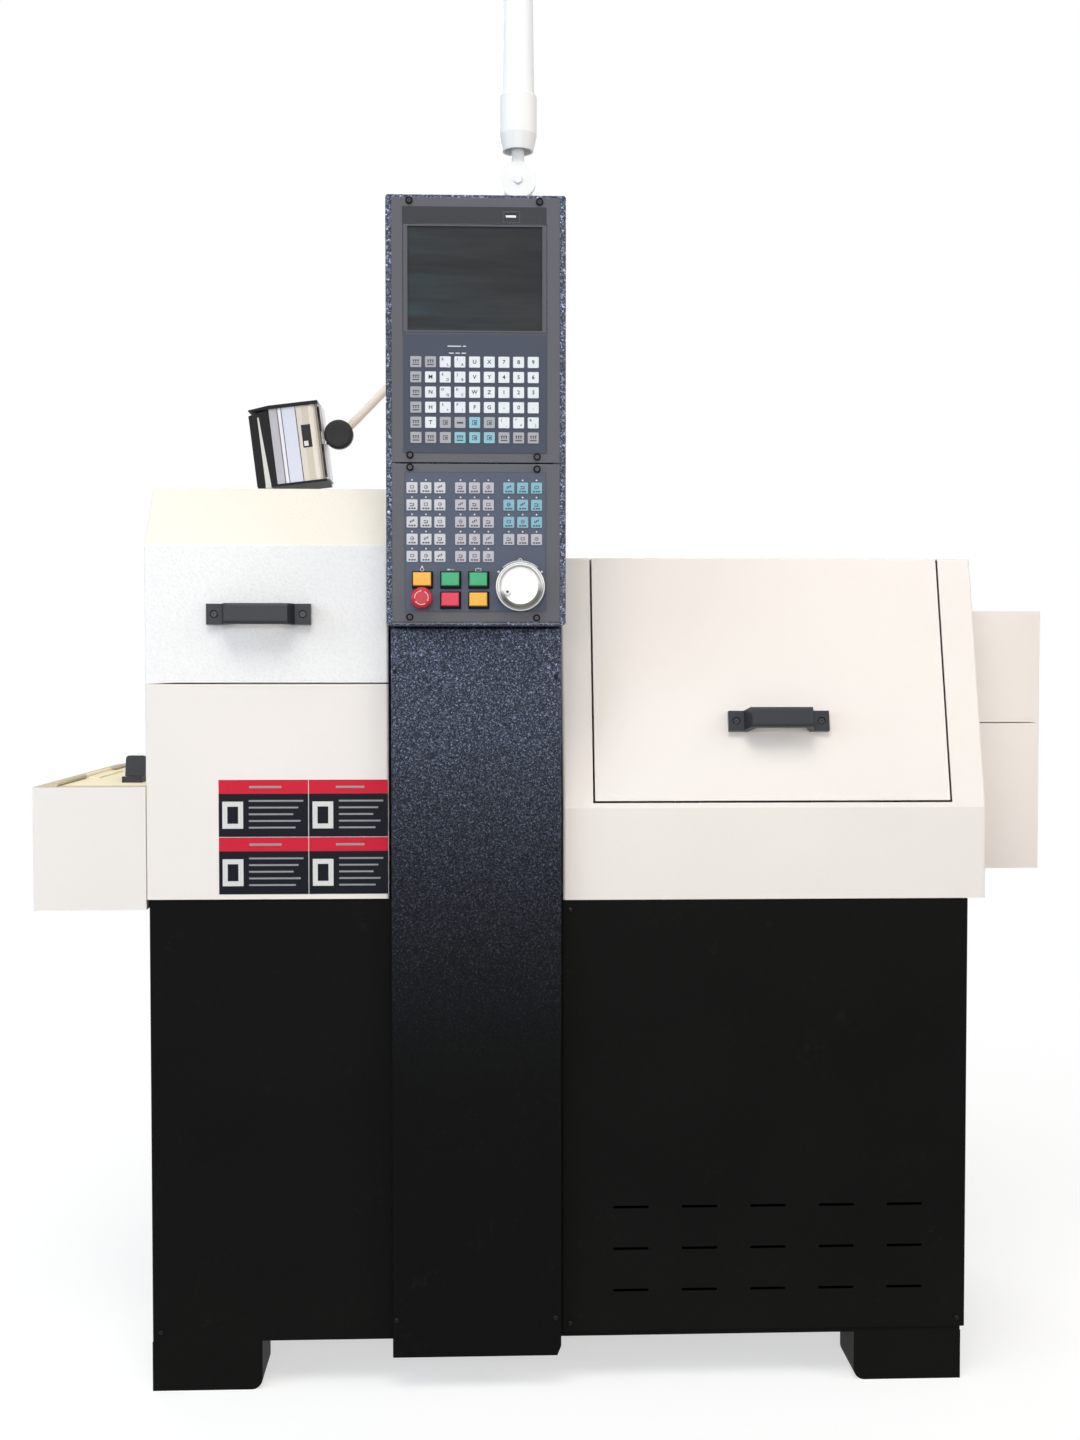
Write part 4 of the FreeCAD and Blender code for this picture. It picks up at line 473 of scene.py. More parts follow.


def hammer_paint(s, shader):
    """Black paint with raised blue-white metallic flecks; a painted sheen brightens them and the ground
    between them towards the top and fades out towards the floor.
    """
    coarse = s.group("paint_flecks", Scale=520.0, Cover=0.8)
    fine = s.group("paint_flecks", Scale=1100.0, Cover=0.7)
    worn = s.group("handling_wear", Amount=0.03)
    # cover is a painted sheen: it brightens the flecks towards the column's top and fades them out towards
    # the floor
    cover = s.math("POWER", s.ramp(s.split(s.point())["Z"], *FLECK_SHEEN_FADE), FLECK_SHEEN_BEND)
    sparks = s.math("MAXIMUM", coarse["Fleck"], fine["Fleck"])
    fleck = s.times(s.plus(s.times(sparks, 1.05), FLECK_SHEEN_GROUND), cover)
    paint = s.mix(fleck, tone("hammer"), tone("fleck"))
    s.fill(shader, Base_Color=s.mix(worn["Wear"], paint, DUST), Metallic=fleck, Specular_IOR_Level=0.03,
           Roughness=s.minus(0.46, s.times(fleck, 0.10)))
    s.bump(shader, coarse["Height"], 0.35, 0.0004)


def fine_paint(s, shader, base, roughness, grain, strength, metallic=0.0, gloss=0.25):
    """Fine-grained matt finish with faint rubbed patches."""
    flow = s.group("orange_peel", Scale=grain, Grain=0.9)
    worn = s.group("handling_wear", Amount=0.12)
    paint = s.mix(flow["Mottle"], tone(base, 1.08), tone(base, 0.90))
    s.fill(shader, Base_Color=s.mix(worn["Wear"], paint, tone(base, 1.6)), Metallic=metallic,
           Specular_IOR_Level=gloss, Roughness=s.plus(roughness, s.times(worn["Wear"], 0.2)))
    s.bump(shader, flow["Height"], strength, 0.0003)


def film_paint(s, shader):
    """Matt printed films: the lower plate's is the paler one."""
    flow = s.group("orange_peel", Scale=1600.0, Grain=0.9)
    worn = s.group("handling_wear", Amount=0.12)
    upper = s.ramp(s.split(s.point())["Z"], SEAM - 0.002, SEAM + 0.002)
    paint = s.mix(upper, tone("film", 1.75), tone("film"))
    paint = s.mix(s.times(flow["Mottle"], 0.5), paint, tone("film", 0.9))
    s.fill(shader, Base_Color=s.mix(worn["Wear"], paint, tone("film", 1.8)), Roughness=0.55,
           Specular_IOR_Level=0.25)
    s.bump(shader, flow["Height"], 0.1, 0.0003)


def moulded_plastic(s, shader, base, roughness=0.28):
    """Glossy moulded plastic with fine mould grain and dulled patches."""
    flow = s.group("orange_peel", Scale=900.0, Grain=0.6)
    worn = s.group("handling_wear", Scale=60.0, Amount=0.25)
    s.fill(shader, Base_Color=s.mix(flow["Mottle"], tone(base), tone(base, 0.88)), Specular_IOR_Level=0.3,
           Roughness=s.plus(roughness, s.times(worn["Wear"], 0.5)))
    s.bump(shader, flow["Height"], 0.12, 0.0002)


SCREEN_COOL = (0.018, 0.038, 0.048)   # the display's lower left
SCREEN_DEEP = (0.008, 0.009, 0.010)   # between its bands


def display_glass(s, shader):
    """Grey display frame round a switched-off matt screen with faint darker bands."""
    low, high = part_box("display_screen")
    place = s.point()
    x, y, z = s.split(place)
    stretched = s.get("ShaderNodeMapping", Scale=(4.0, 1.0, 42.0), Vector=place)
    bands = s.get("ShaderNodeTexNoise", Scale=1.3, Detail=4.0, Roughness=0.55, Vector=stretched)
    warm = s.math("ADD", s.ramp(x, low.x, high.x), s.times(s.ramp(z, low.z, high.z), 0.7), True)
    glass = s.mix(s.ramp(bands, 0.38, 0.64), SCREEN_DEEP, s.mix(warm, SCREEN_COOL, tone("screen")))
    rim = s.ramp(y, low.y + 0.0009, low.y + 0.0006)
    smudge = s.group("handling_wear", Scale=25.0, Amount=0.4)
    s.fill(shader, Base_Color=s.mix(rim, glass, tone("plate", 1.05)), Roughness=s.plus(0.38, smudge["Wear"]),
           Specular_IOR_Level=0.22)


# the face's near-white tones are partly the metal's own silver and partly a painted highlight
DIAL_FACE = ((0.86, 0.86, 0.86), (0.95, 0.95, 0.95))
DIAL_RING = ((0.50, 0.50, 0.48), (0.070, 0.072, 0.056))   # the grey ring, and the painted reflection of the dark column and floor on its low side
DIAL_LINE = (0.06, 0.06, 0.055)
# the way the ring's painted dark reflection faces, seen from the front
DIAL_REFLECTION_SIDE = (0.20, 0.0, -0.98)


def dial_metal(s, shader):
    """Turned dial: satin face with fine rings whose near-white tone is partly a painted highlight, grey ring
    with a painted dark reflection at the bottom, pale rim.
    """
    flat = s.vector("MULTIPLY", s.vector("SUBTRACT", s.point(), DIAL_CENTRE), (1.0, 0.0, 1.0))
    radius = s.vector("LENGTH", flat)
    # the ring's low side takes a painted dark reflection of the column and floor
    lean = s.vector("DOT_PRODUCT", flat, DIAL_REFLECTION_SIDE)
    dark_reflection = s.ramp(s.over(lean, s.math("MAXIMUM", radius, 0.001)), 0.0, 0.45)
    ring = s.within(radius, 0.71 * DIAL_REACH, 0.93 * DIAL_REACH, 0.0003)
    lines = s.math("MAXIMUM", s.within(radius, 0.925 * DIAL_REACH, 0.945 * DIAL_REACH),
                   s.within(radius, 0.985 * DIAL_REACH, 1.1 * DIAL_REACH))
    turned = s.get("ShaderNodeTexNoise", noise_dimensions="1D", Scale=2600.0, Detail=3.0, W=radius)
    worn = s.group("handling_wear", Scale=70.0, Amount=0.25)
    metal = s.mix(ring, s.mix(turned, *DIAL_FACE), s.mix(dark_reflection, *DIAL_RING))
    s.fill(shader, Base_Color=s.mix(s.times(lines, 0.85), metal, DIAL_LINE), Metallic=0.2,
           Roughness=s.plus(s.minus(0.34, s.times(ring, 0.04)), s.times(worn["Wear"], 0.4)))
    s.bump(shader, turned, 0.15, 0.0001)


def brushed_metal(s, shader, base, roughness, stretch):
    """Ground or drawn metal with fine lines along X."""
    lines = s.group("brushing", Stretch=stretch)["Lines"]
    worn = s.group("handling_wear", Scale=40.0, Amount=0.4)["Wear"]
    metal = s.mix(worn, s.mix(lines, tone(base, 0.82), base), tone(base, 0.5))
    s.fill(shader, Base_Color=metal, Metallic=1.0, Roughness=s.plus(roughness, s.times(worn, 0.3)))
    s.bump(shader, lines, 0.12, 0.0001)


LAMP_BLACK = (0.010, 0.010, 0.011)
LAMP_GROOVE_SHADE = 1.2              # width of the painted shade in the grooves between the strips, in millimetres
# left edge of each strip from the head's middle, in millimetres, and its tone
LAMP_STRIPS = ((-26.0, (0.40, 0.39, 0.42)), (-12.6, (0.66, 0.65, 0.69)), (-6.1, (0.55, 0.56, 0.64)),
               (16.9, (0.56, 0.52, 0.46)), (27.0, (0.50, 0.45, 0.38)), (38.0, (0.62, 0.57, 0.50)),
               (49.0, (0.22, 0.20, 0.17)), (53.5, (0.66, 0.64, 0.66)))
WEDGE = (0.62, 0.61, 0.58)    # the pale wedge on the head's black front part
WEDGE_LEFT = -0.0451
WEDGE_TOP = (-0.0428, 0.050)  # right edge and height of its upper end
WEDGE_SPREAD = 0.06


def lamp_shell(s, shader):
    """The lamp head: black front part with a pale wedge, silver extrusion in strips with painted shade in its
    grooves, black end plates.
    """
    local = s.get("ShaderNodeMapping", vector_type="TEXTURE", Location=LAMP_MIDDLE,
                  Rotation=(0.0, -LAMP_TILT, 0.0), Vector=s.point())
    x, _, z = s.split(local)
    half = LAMP_SIZE.x / 2
    strips = s.node("ShaderNodeValToRGB", Fac=s.ramp(x, -half, half))
    strips.color_ramp.interpolation = "CONSTANT"
    for spot, shade in LAMP_STRIPS:
        strips.color_ramp.elements.new((spot * MM + half) / (2 * half)).color = (*shade, 1.0)
    edge = s.minus(WEDGE_TOP[0], s.times(s.minus(z, WEDGE_TOP[1]), WEDGE_SPREAD))
    wedge = s.times(s.within(x, WEDGE_LEFT, 0.0), s.within(s.minus(x, edge), -1.0, 0.0))
    wedge = s.times(wedge, s.within(z, -LAMP_SIZE.z, WEDGE_TOP[1]))
    silver = s.times(s.within(x, LAMP_STRIPS[0][0] * MM, half + MM),
                     s.within(z, -LAMP_SIZE.z / 2, LAMP_SIZE.z / 2))
    metal = strips.outputs[0]
    # painted shade darkens the grooves at the left edges of the second to fourth strips
    for spot, _ in LAMP_STRIPS[1:4]:
        joint = s.within(x, spot * MM, (spot + LAMP_GROOVE_SHADE) * MM)
        metal = s.mix(s.times(joint, 0.85), metal, LAMP_BLACK)
    lines = s.group("brushing", Stretch=0.05)["Lines"]
    metal = s.mix(s.times(lines, 0.25), s.mix(silver, LAMP_BLACK, metal), LAMP_BLACK)
    s.fill(shader, Base_Color=s.mix(wedge, metal, WEDGE), Metallic=s.times(silver, 0.35),
           Roughness=s.minus(0.5, s.times(silver, 0.12)), Specular_IOR_Level=0.15)
    s.bump(shader, lines, 0.1, 0.0001)


def belt_rubber(s, shader):
    """Black belt with fine ribs along its run and chalky wear."""
    ribs = s.node("ShaderNodeTexWave", Scale=180.0, bands_direction="X", Vector=s.point())
    worn = s.group("handling_wear", Scale=80.0, Amount=0.6)
    s.fill(shader, Base_Color=s.mix(worn["Wear"], (0.018, 0.018, 0.018), (0.10, 0.10, 0.10)), Roughness=0.75)
    s.bump(shader, ribs.outputs["Fac"], 0.4, 0.0006)


def frosted_lens(s, shader):
    """Milky ribbed lens of the tower light."""
    x, y, _ = s.split(s.vector("SUBTRACT", s.point(), middle_of("tower_light_lens")))
    ribs = s.math("SINE", s.times(s.math("ARCTAN2", y, x), 48.0))
    flow = s.group("orange_peel", Scale=500.0)
    s.fill(shader, Base_Color=s.mix(flow["Mottle"], (0.88, 0.89, 0.90), (0.80, 0.82, 0.84)),
           Roughness=s.plus(0.30, s.times(flow["Mottle"], 0.15)), Subsurface_Weight=0.25,
           Subsurface_Radius=(0.012, 0.012, 0.012))
    s.bump(shader, ribs, 0.35, 0.0006)


def print_ink(s, shader, base, roughness=0.5):
    """Printed ink with slightly uneven cover."""
    flow = s.group("orange_peel", Scale=1500.0, Grain=0.8)
    s.fill(shader, Base_Color=s.mix(s.ramp(flow["Height"], 0.3, 0.9), tone(base), tone(base, 0.8)),
           Roughness=s.plus(roughness, s.times(flow["Mottle"], 0.1)), Specular_IOR_Level=0.1)


FLANGE_DARKENING = 0.64             # how much darker than the shelf tone the end box's flange beside its lid and the hinge pins are painted
# each finish's builder, and that builder's own values in order
FINISHES = {
    "cream_paint": (cream_paint,),
    # the shelf finishes take the shelf tone, whose warmth is painted warm light from above
    "shelf_paint": (cream_paint, "shelf", 1.0, 0.0),
    "edge_paint": (cream_paint, "shelf", FLANGE_DARKENING, 0.0),
    "end_box_paint": (cream_paint, "cream", 1.0, 0.0, END_BOX_TOP),
    "lid_paint": (lid_paint,),
    "black_paint": (coarse_coat, "black", 230.0, 0.35, 0.40, 0.02, 0.008, 0.03),
    "cast_iron": (coarse_coat, (0.20, 0.24, 0.22), 120.0, 0.6, 0.45, 0.2, 0.0),
    "black_hammer_paint": (hammer_paint,),
    "panel_grey": (fine_paint, "plate", 0.42, 1400.0, 0.08, 0.0, 0.35),
    "top_band": (fine_paint, "band", 0.55, 1600.0, 0.08),
    "black_plastic": (fine_paint, (0.012, 0.012, 0.013), 0.45, 1100.0, 0.25),
    "handle_black": (fine_paint, (0.024, 0.026, 0.032), 0.38, 900.0, 0.2, 0.0, 0.3),
    "motor_black": (fine_paint, (0.035, 0.035, 0.038), 0.5, 700.0, 0.3),
    "lamp_cream": (fine_paint, (0.74, 0.68, 0.58), 0.30, 350.0, 0.08),
    "screw_grey": (fine_paint, (0.050, 0.050, 0.054), 0.34, 1300.0, 0.2, 0.5, 0.4),
    "screw_black": (fine_paint, (0.012, 0.012, 0.014), 0.32, 1300.0, 0.2, 0.6),
    "lip_grey": (fine_paint, (0.24, 0.245, 0.27), 0.5, 900.0, 0.1),
    "keypad_film": (film_paint,),
    "display": (display_glass,),
    "dial_metal": (dial_metal,),
    "red_plastic": (moulded_plastic, "red"),
    "stop_red": (moulded_plastic, "stop"),
    "orange_plastic": (moulded_plastic, "orange"),
    "green_plastic": (moulded_plastic, "green"),
    **{key: (moulded_plastic, key, 0.45)
       for key in ("key_white", "key_soft", "key_grey", "key_cyan", "key_pale", "key_tint")},
    "stop_mark": (moulded_plastic, (0.86, 0.42, 0.42), 0.3),
    "white_plastic": (moulded_plastic, (0.86, 0.86, 0.86), 0.35),
    "lamp_silver": (lamp_shell,),
    "ground_steel": (brushed_metal, (0.56, 0.57, 0.58), 0.28, 25.0),
    "aluminium": (brushed_metal, (0.72, 0.72, 0.73), 0.34, 12.0),
    "belt_rubber": (belt_rubber,),
    "white_lens": (frosted_lens,),
    "ink_dark": (print_ink, (0.02, 0.02, 0.025)),
    "ink_black": (print_ink, (0.004, 0.004, 0.005)),
    "ink_grey": (print_ink, (0.09, 0.09, 0.105)),
    "ink_pale": (print_ink, (0.80, 0.82, 0.84)),
    "decal_sheet": (print_ink, (0.80, 0.79, 0.77), 0.35),
    "decal_bar": (print_ink, (0.36, 0.36, 0.37), 0.35),
    "decal_red": (print_ink, "decal_red", 0.35),
    "decal_dark": (print_ink, "decal_dark", 0.35),
}


def new_material(name, build, *values):
    """A material whose one Principled shader a function fills."""
    material = bpy.data.materials.new(name)
    material.use_nodes = True
    build(Wiring(material.node_tree), material.node_tree.nodes["Principled BSDF"], *values)
    return material


def finish_of(name):
    """The named finish, built the first time it is asked for; no frame material has its name."""
    found = bpy.data.materials.get("finish_" + name)
    return found or new_material("finish_" + name, *FINISHES[name])


# nodes whose finish is another than the one their slot names
NODE_FINISHES = {
    "headstock_lid": "lid_paint",
    "headstock_lid_handle": "handle_black",
    "work_door_handle": "handle_black",
    "end_box_lid_handle": "handle_black",
    "left_end_box": "end_box_paint",
    "end_box_lid": "shelf_paint",
    "hinge_pins": "edge_paint",
    "emergency_stop": "stop_red",
    "handwheel_knob": "white_plastic",
    "lamp_head": "lamp_silver",
}


def paint_all_nodes():
    """Every slot of a CAD node takes the finish of its own name, or the node's other finish."""
    for node, thing in frame["nodes"].items():
        for slot in thing.material_slots:
            slot.material = finish_of(NODE_FINISHES.get(node) or slot.material.name.split(".")[0])


# ======== geometry nodes for what repeats ========

def on_points(s, given, shape):
    """Instances of a shape on the incoming points, stood up by the Tilt input."""
    tilt = s.get("FunctionNodeEulerToRotation", Euler=given["Tilt"])
    return s.get("GeometryNodeInstanceOnPoints", Points=given["Geometry"], Instance=shape, Rotation=tilt)


def joined(s, *parts):
    """Several meshes or curves as one."""
    made = s.node("GeometryNodeJoinGeometry")
    for part in parts:
        s.feed(made.inputs[0], part)
    return made.outputs[0]


def raised(s, base, wall, edge, shrink):
    """A body on a flat face: a wall, then an edge whose top is shrunk, closed by the flipped face."""
    lower = s.node("GeometryNodeExtrudeMesh", mode="FACES", Individual=False, Mesh=base, Offset_Scale=wall)
    upper = s.node("GeometryNodeExtrudeMesh", mode="FACES", Individual=False, Mesh=lower.outputs["Mesh"],
                   Offset_Scale=edge, Selection=lower.outputs["Top"])
    top = s.get("GeometryNodeScaleElements", domain="FACE", Geometry=upper.outputs["Mesh"],
                Selection=upper.outputs["Top"], Scale=shrink)
    floor = s.get("GeometryNodeFlipFaces", Mesh=base)
    return s.get("GeometryNodeMergeByDistance", Distance=0.00002, Geometry=joined(s, top, floor))


def pads_on_points(s, given):
    """Rounded, chamfered pads: the keys and their small lights."""
    outline = s.get("GeometryNodeCurvePrimitiveQuadrilateral", Width=given["Width"], Height=given["Height"])
    rounded = s.get("GeometryNodeFilletCurve", mode="POLY", Count=4, Limit_Radius=True, Curve=outline,
                    Radius=given["Corner"])
    base = s.get("GeometryNodeFillCurve", mode="NGONS", Curve=rounded)
    share = s.over(given["Chamfer"], given["Width"])
    pad = raised(s, base, s.minus(given["Raise"], given["Chamfer"]), given["Chamfer"],
                 s.minus(1.0, s.times(share, 2.0)))
    return on_points(s, given, pad)


def screws_on_points(s, given):
    """Socket-head screws with a hexagon recess, each turned by chance about its own axis."""
    rim = s.get("GeometryNodeCurvePrimitiveCircle", Resolution=28, Radius=s.times(given["Head"], 0.5))
    hexagon = s.get("GeometryNodeCurvePrimitiveCircle", Resolution=6, Radius=s.times(given["Socket"], 0.5))
    face = s.get("GeometryNodeFillCurve", mode="TRIANGLES", Curve=joined(s, rim, hexagon))
    head = raised(s, face, s.times(given["Rise"], 0.65), s.times(given["Rise"], 0.35), given["Edge"])
    floor = s.get("GeometryNodeFillCurve", mode="TRIANGLES", Curve=hexagon)
    height = s.get("ShaderNodeCombineXYZ", Z=s.minus(given["Rise"], given["Depth"]))
    lifted = s.get("GeometryNodeTransform", Geometry=floor, Translation=height)
    chance = s.node("FunctionNodeRandomValue", data_type="FLOAT", Seed=given["Seed"])
    chance.inputs[3].default_value = math.tau
    roll = s.get("ShaderNodeCombineXYZ", Z=chance.outputs[1])
    screws = on_points(s, given, joined(s, head, lifted))
    return s.get("GeometryNodeRotateInstances", Local_Space=True, Instances=screws, Rotation=roll)


def ticks_on_arc(s, given):
    """Divisions round a dial: short blocks on an arc, every few of them longer."""
    index = s.get("GeometryNodeInputIndex")
    angle = s.times(index, given["Step"])
    is_long = s.math("LESS_THAN", s.math("MODULO", index, given["Long Every"]), 0.5)
    extra = s.minus(given["Long Length"], given["Length"])
    reach = s.plus(given["Length"], s.times(is_long, extra))
    middle = s.minus(given["Radius"], s.times(reach, 0.5))
    spot = s.get("ShaderNodeCombineXYZ", X=s.times(middle, s.math("COSINE", angle)),
                 Y=s.times(middle, s.math("SINE", angle)))
    points = s.get("GeometryNodePoints", Count=given["Count"], Position=spot)
    size = s.get("ShaderNodeCombineXYZ", X=reach, Y=given["Width"], Z=given["Thickness"])
    turn = s.get("FunctionNodeEulerToRotation", Euler=s.get("ShaderNodeCombineXYZ", Z=angle))
    ticks = s.get("GeometryNodeInstanceOnPoints", Points=points, Instance=s.get("GeometryNodeMeshCube"),
                  Rotation=turn, Scale=size)
    tilt = s.get("FunctionNodeEulerToRotation", Euler=given["Tilt"])
    return s.get("GeometryNodeTransform", Geometry=ticks, Translation=given["Centre"], Rotation=tilt)


GROWERS = {
    "pads_on_points": (pads_on_points, ("Width", "Height", "Corner", "Raise", "Chamfer")),
    "screws_on_points": (screws_on_points, ("Head", "Rise", "Socket", "Depth", "Edge", "Seed")),
    "ticks_on_arc": (ticks_on_arc, ("Count", "Radius", "Step", "Length", "Long Length", "Long Every", "Width",
                                    "Thickness", "Centre")),
}
INPUT_KINDS = {"Seed": "Int", "Count": "Int", "Long Every": "Int", "Centre": "Vector", "Tilt": "Vector",
               "Material": "Material", "Geometry": "Geometry"}


def build_grower(name):
    """Builds a geometry tree that ends with its instances made real and given the material."""
    build, inputs = GROWERS[name]
    tree = bpy.data.node_groups.new(name, "GeometryNodeTree")
    tree.interface.new_socket(name="Geometry", in_out="OUTPUT", socket_type="NodeSocketGeometry")
    for text in ("Geometry", *inputs, "Tilt", "Material"):
        kind = INPUT_KINDS.get(text, "Float")
        tree.interface.new_socket(name=text, in_out="INPUT", socket_type="NodeSocket" + kind)
    s = Wiring(tree)
    given = s.node("NodeGroupInput").outputs
    real = s.get("GeometryNodeRealizeInstances", Geometry=build(s, given))
    dressed = s.get("GeometryNodeSetMaterial", Geometry=real, Material=given["Material"])
    s.node("NodeGroupOutput", Geometry=dressed)
    return tree


def grown(name, tree_name, points, finish, body="base", **values):
    """Runs a geometry tree on points and leaves a plain mesh piece that rides a body."""
    tree = bpy.data.node_groups.get(tree_name) or build_grower(tree_name)
    seeds = bpy.data.meshes.new(name + "_seeds")
    seeds.from_pydata([tuple(p) for p in points], [], [])
    piece = linked(name, seeds)
    modifier = piece.modifiers.new("grow", "NODES")
    modifier.node_group = tree
    values = {"Tilt": FRONT_TILT, **values, "Material": finish_of(finish)}
    for item in tree.interface.items_tree:
        if item.in_out == "INPUT" and item.name != "Geometry":
            modifier[item.identifier] = values[item.name.replace(" ", "_")]
    mesh = bpy.data.meshes.new_from_object(piece.evaluated_get(bpy.context.evaluated_depsgraph_get()))
    piece.modifiers.clear()
    piece.data = mesh
    mesh.name = name
    bpy.data.meshes.remove(seeds)
    if not mesh.polygons:
        raise RuntimeError(f"{name} came out empty")
    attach(piece, body)


# ======== control panel: drawings in millimetres from the middle and from the seam ========

FILM = 0.8                    # thickness of the keypad films
INK = 0.12                    # thickness of what is printed on them
KEY_PITCH = (19.6, 20.1)
KEY_FIRST = (-80.2, 33.0)
KEY_TONES = ("ggwwwwwww", "gwwwwwwww", "gwwwwwwww", "gwwwwwwww", "gwggcgwww", "gggcccggg")
KEY_FINISHES = {"w": "key_white", "g": "key_grey", "c": "key_cyan"}
# three signs are two small ones on a key; '#' stands for a word, '=' for a bar and 'o' for a box
KEY_LETTERS = (("#", "#", "R-L", "I-A", "U", "X", "7", "8", "9"),
               ("#", "M", "E-D", "J-B", "V", "Y", "4", "5", "6"),
               ("#", "N", "O-Q", "K-C", "W", "Z", "1", "2", "3"),
               ("#", "H", "S-+", "P-/", "F", "G", "-", "0", "."),
               ("#", "T", "o", "=", "o", "o", "(-,", "*-<", "%-)"),
               ("#", "#", "o", "#", "o", "o", "#", "#", "#"))
OPERATOR_PITCH = (18.6, 22.9)
OPERATOR_TOP = -33.9
# the place of each group's left keys, and the tone of each of its rows of three
OPERATOR_GROUPS = ((-85.7, "wwwww"), (-20.8, "ppppp"), (43.8, "tttp"))
OPERATOR_FINISHES = {"w": "key_soft", "p": "key_pale", "t": "key_tint"}
OPERATOR_KEY = 14.7
KEY_SPREAD = 0.5              # how much wider an entry key's pad is than its setting
LIGHT_RISE = 10.4             # from a key's middle up to its small light
LEGEND_SIZE = 7.4
PAIR_SIZE = 4.8               # of the two letters on a key with two
BAND_Z = 328.3                # middle of the band over the display
BAND_THICK = 0.3
PANEL_SCREWS = ((-88.8, 347.0), (85.2, 346.4), (-88.3, 9.7), (81.7, 7.9),
                (-88.3, -6.6), (81.7, -8.5), (-89.1, -206.6), (81.1, -207.6))


def panel(x, z, lift=0.0):
    """A point on the control plates, lifted off them."""
    return Vector((PANEL_X + x * MM, PLATE_LOW.y - lift * MM, SEAM + z * MM))


def drawn_at(x, z, lift):
    """The matrix that stands a flat drawing on the control plates."""
    return Matrix.Translation(panel(x, z, lift)) @ FACING_FRONT


def panel_spot(node):
    """The (x, z) middle of a node on the control plates."""
    middle = middle_of(node)
    return (middle.x - PANEL_X) / MM, (middle.z - SEAM) / MM


def entry_keys():
    """Tone, legend and place of every data entry key, from the top row down."""
    rows = zip(range(len(KEY_TONES) - 1, -1, -1), KEY_TONES, KEY_LETTERS)
    return [(tones[c], letters[c], KEY_FIRST[0] + c * KEY_PITCH[0], KEY_FIRST[1] + row * KEY_PITCH[1])
            for row, tones, letters in rows for c in range(len(tones))]


def operator_keys():
    """Tone and place of every operator key, group by group from the top row down."""
    return [(tone, left + c * OPERATOR_PITCH[0], OPERATOR_TOP - r * OPERATOR_PITCH[1])
            for left, tones in OPERATOR_GROUPS for r, tone in enumerate(tones) for c in range(3)]


def add_legend(bm, text, x, z, size, lift):
    """Adds printed letters centred on a key."""
    curve = bpy.data.curves.new("letter", "FONT")
    curve.body = text
    curve.size = size * MM
    curve.align_x = "CENTER"
    curve.align_y = "CENTER"
    curve.extrude = 0.00004
    curve.offset = curve.size * 0.022
    curve.resolution_u = 3
    holder = linked("letter", curve)
    graph = bpy.context.evaluated_depsgraph_get()
    mesh = bpy.data.meshes.new_from_object(holder.evaluated_get(graph))
    mesh.transform(drawn_at(x, z, lift))
    bm.from_mesh(mesh)
    bpy.data.objects.remove(holder)
    bpy.data.curves.remove(curve)
    bpy.data.meshes.remove(mesh)


def add_mark(bm, x, z, wide, tall, lift=FILM, thick=INK, corner=0.0):
    """Adds a printed bar or patch."""
    outline = rectangle(wide * MM, tall * MM, corner * MM)
    add_outline_plate(bm, outline, thick * MM, drawn_at(x, z, lift))


def add_frame(bm, x, z, wide, tall, line, lift=FILM, thick=INK):
    """Adds a rectangular outline drawn with four bars."""
    for sign in (-1, 1):
        add_mark(bm, x, z + sign * (tall - line) / 2, wide, line, lift, thick)
        add_mark(bm, x + sign * (wide - line) / 2, z, line, tall - 2 * line, lift, thick)


def add_ring(bm, x, z, radius, line, lift=FILM, thick=INK, start=0.0, sweep=360.0, steps=40):
    """Adds a printed arc or ring."""
    place = drawn_at(x, z, lift)
    closed = sweep >= 360.0
    count = steps if closed else steps + 1
    rails = []
    for r, h in ((radius, 0.0), (radius, thick), (radius - line, thick), (radius - line, 0.0)):
        rails.append([bm.verts.new(place @ Vector((r * MM * math.cos(t), r * MM * math.sin(t), h * MM)))
                      for t in (math.radians(start + sweep * i / steps) for i in range(count))])
    for first, second in zip(rails, rails[1:] + rails[:1]):
        for i in range(steps):
            j = (i + 1) % count
            bm.faces.new([first[i], first[j], second[j], second[i]])
    if not closed:
        bm.faces.new([rail[0] for rail in rails])
        bm.faces.new([rail[-1] for rail in reversed(rails)])


def make_keys():
    """Coloured key pads over the films' embossed ones, and the small lights over the operator keys."""
    size = sizes()
    entry = [(kind, x, z) for kind, _, x, z in entry_keys()]
    for prefix, finishes, keys, side in (
            ("entry_keys_", KEY_FINISHES, entry, size.key + KEY_SPREAD * MM),
            ("operator_keys_", OPERATOR_FINISHES, operator_keys(), OPERATOR_KEY * MM)):
        for kind, finish in finishes.items():
            points = [panel(x, z, FILM) for key, x, z in keys if key == kind]
            grown(prefix + finish[4:], "pads_on_points", points, finish, Width=side, Height=side,
                  Corner=size.key_corner, Raise=size.key_raise, Chamfer=0.00025)
    lights = [panel(x, z + LIGHT_RISE, FILM) for _, x, z in operator_keys()]
    grown("key_lights", "pads_on_points", lights, "ink_pale",
          Width=0.0022, Height=0.0020, Corner=0.0009, Raise=0.00025, Chamfer=0.00005)


def make_key_legends():
    """Letters and digits on the data entry keys."""
    lift = FILM + sizes().key_raise / MM
    with new_piece("key_letters", "ink_dark") as bm:
        for _, text, x, z in entry_keys():
            if len(text) == 3:
                add_legend(bm, text[0], x - 3.5, z + 3.4, PAIR_SIZE, lift)
                add_legend(bm, text[2], x + 3.3, z - 3.5, PAIR_SIZE, lift)
            elif text not in "#o=":
                add_legend(bm, text, x, z, LEGEND_SIZE, lift)


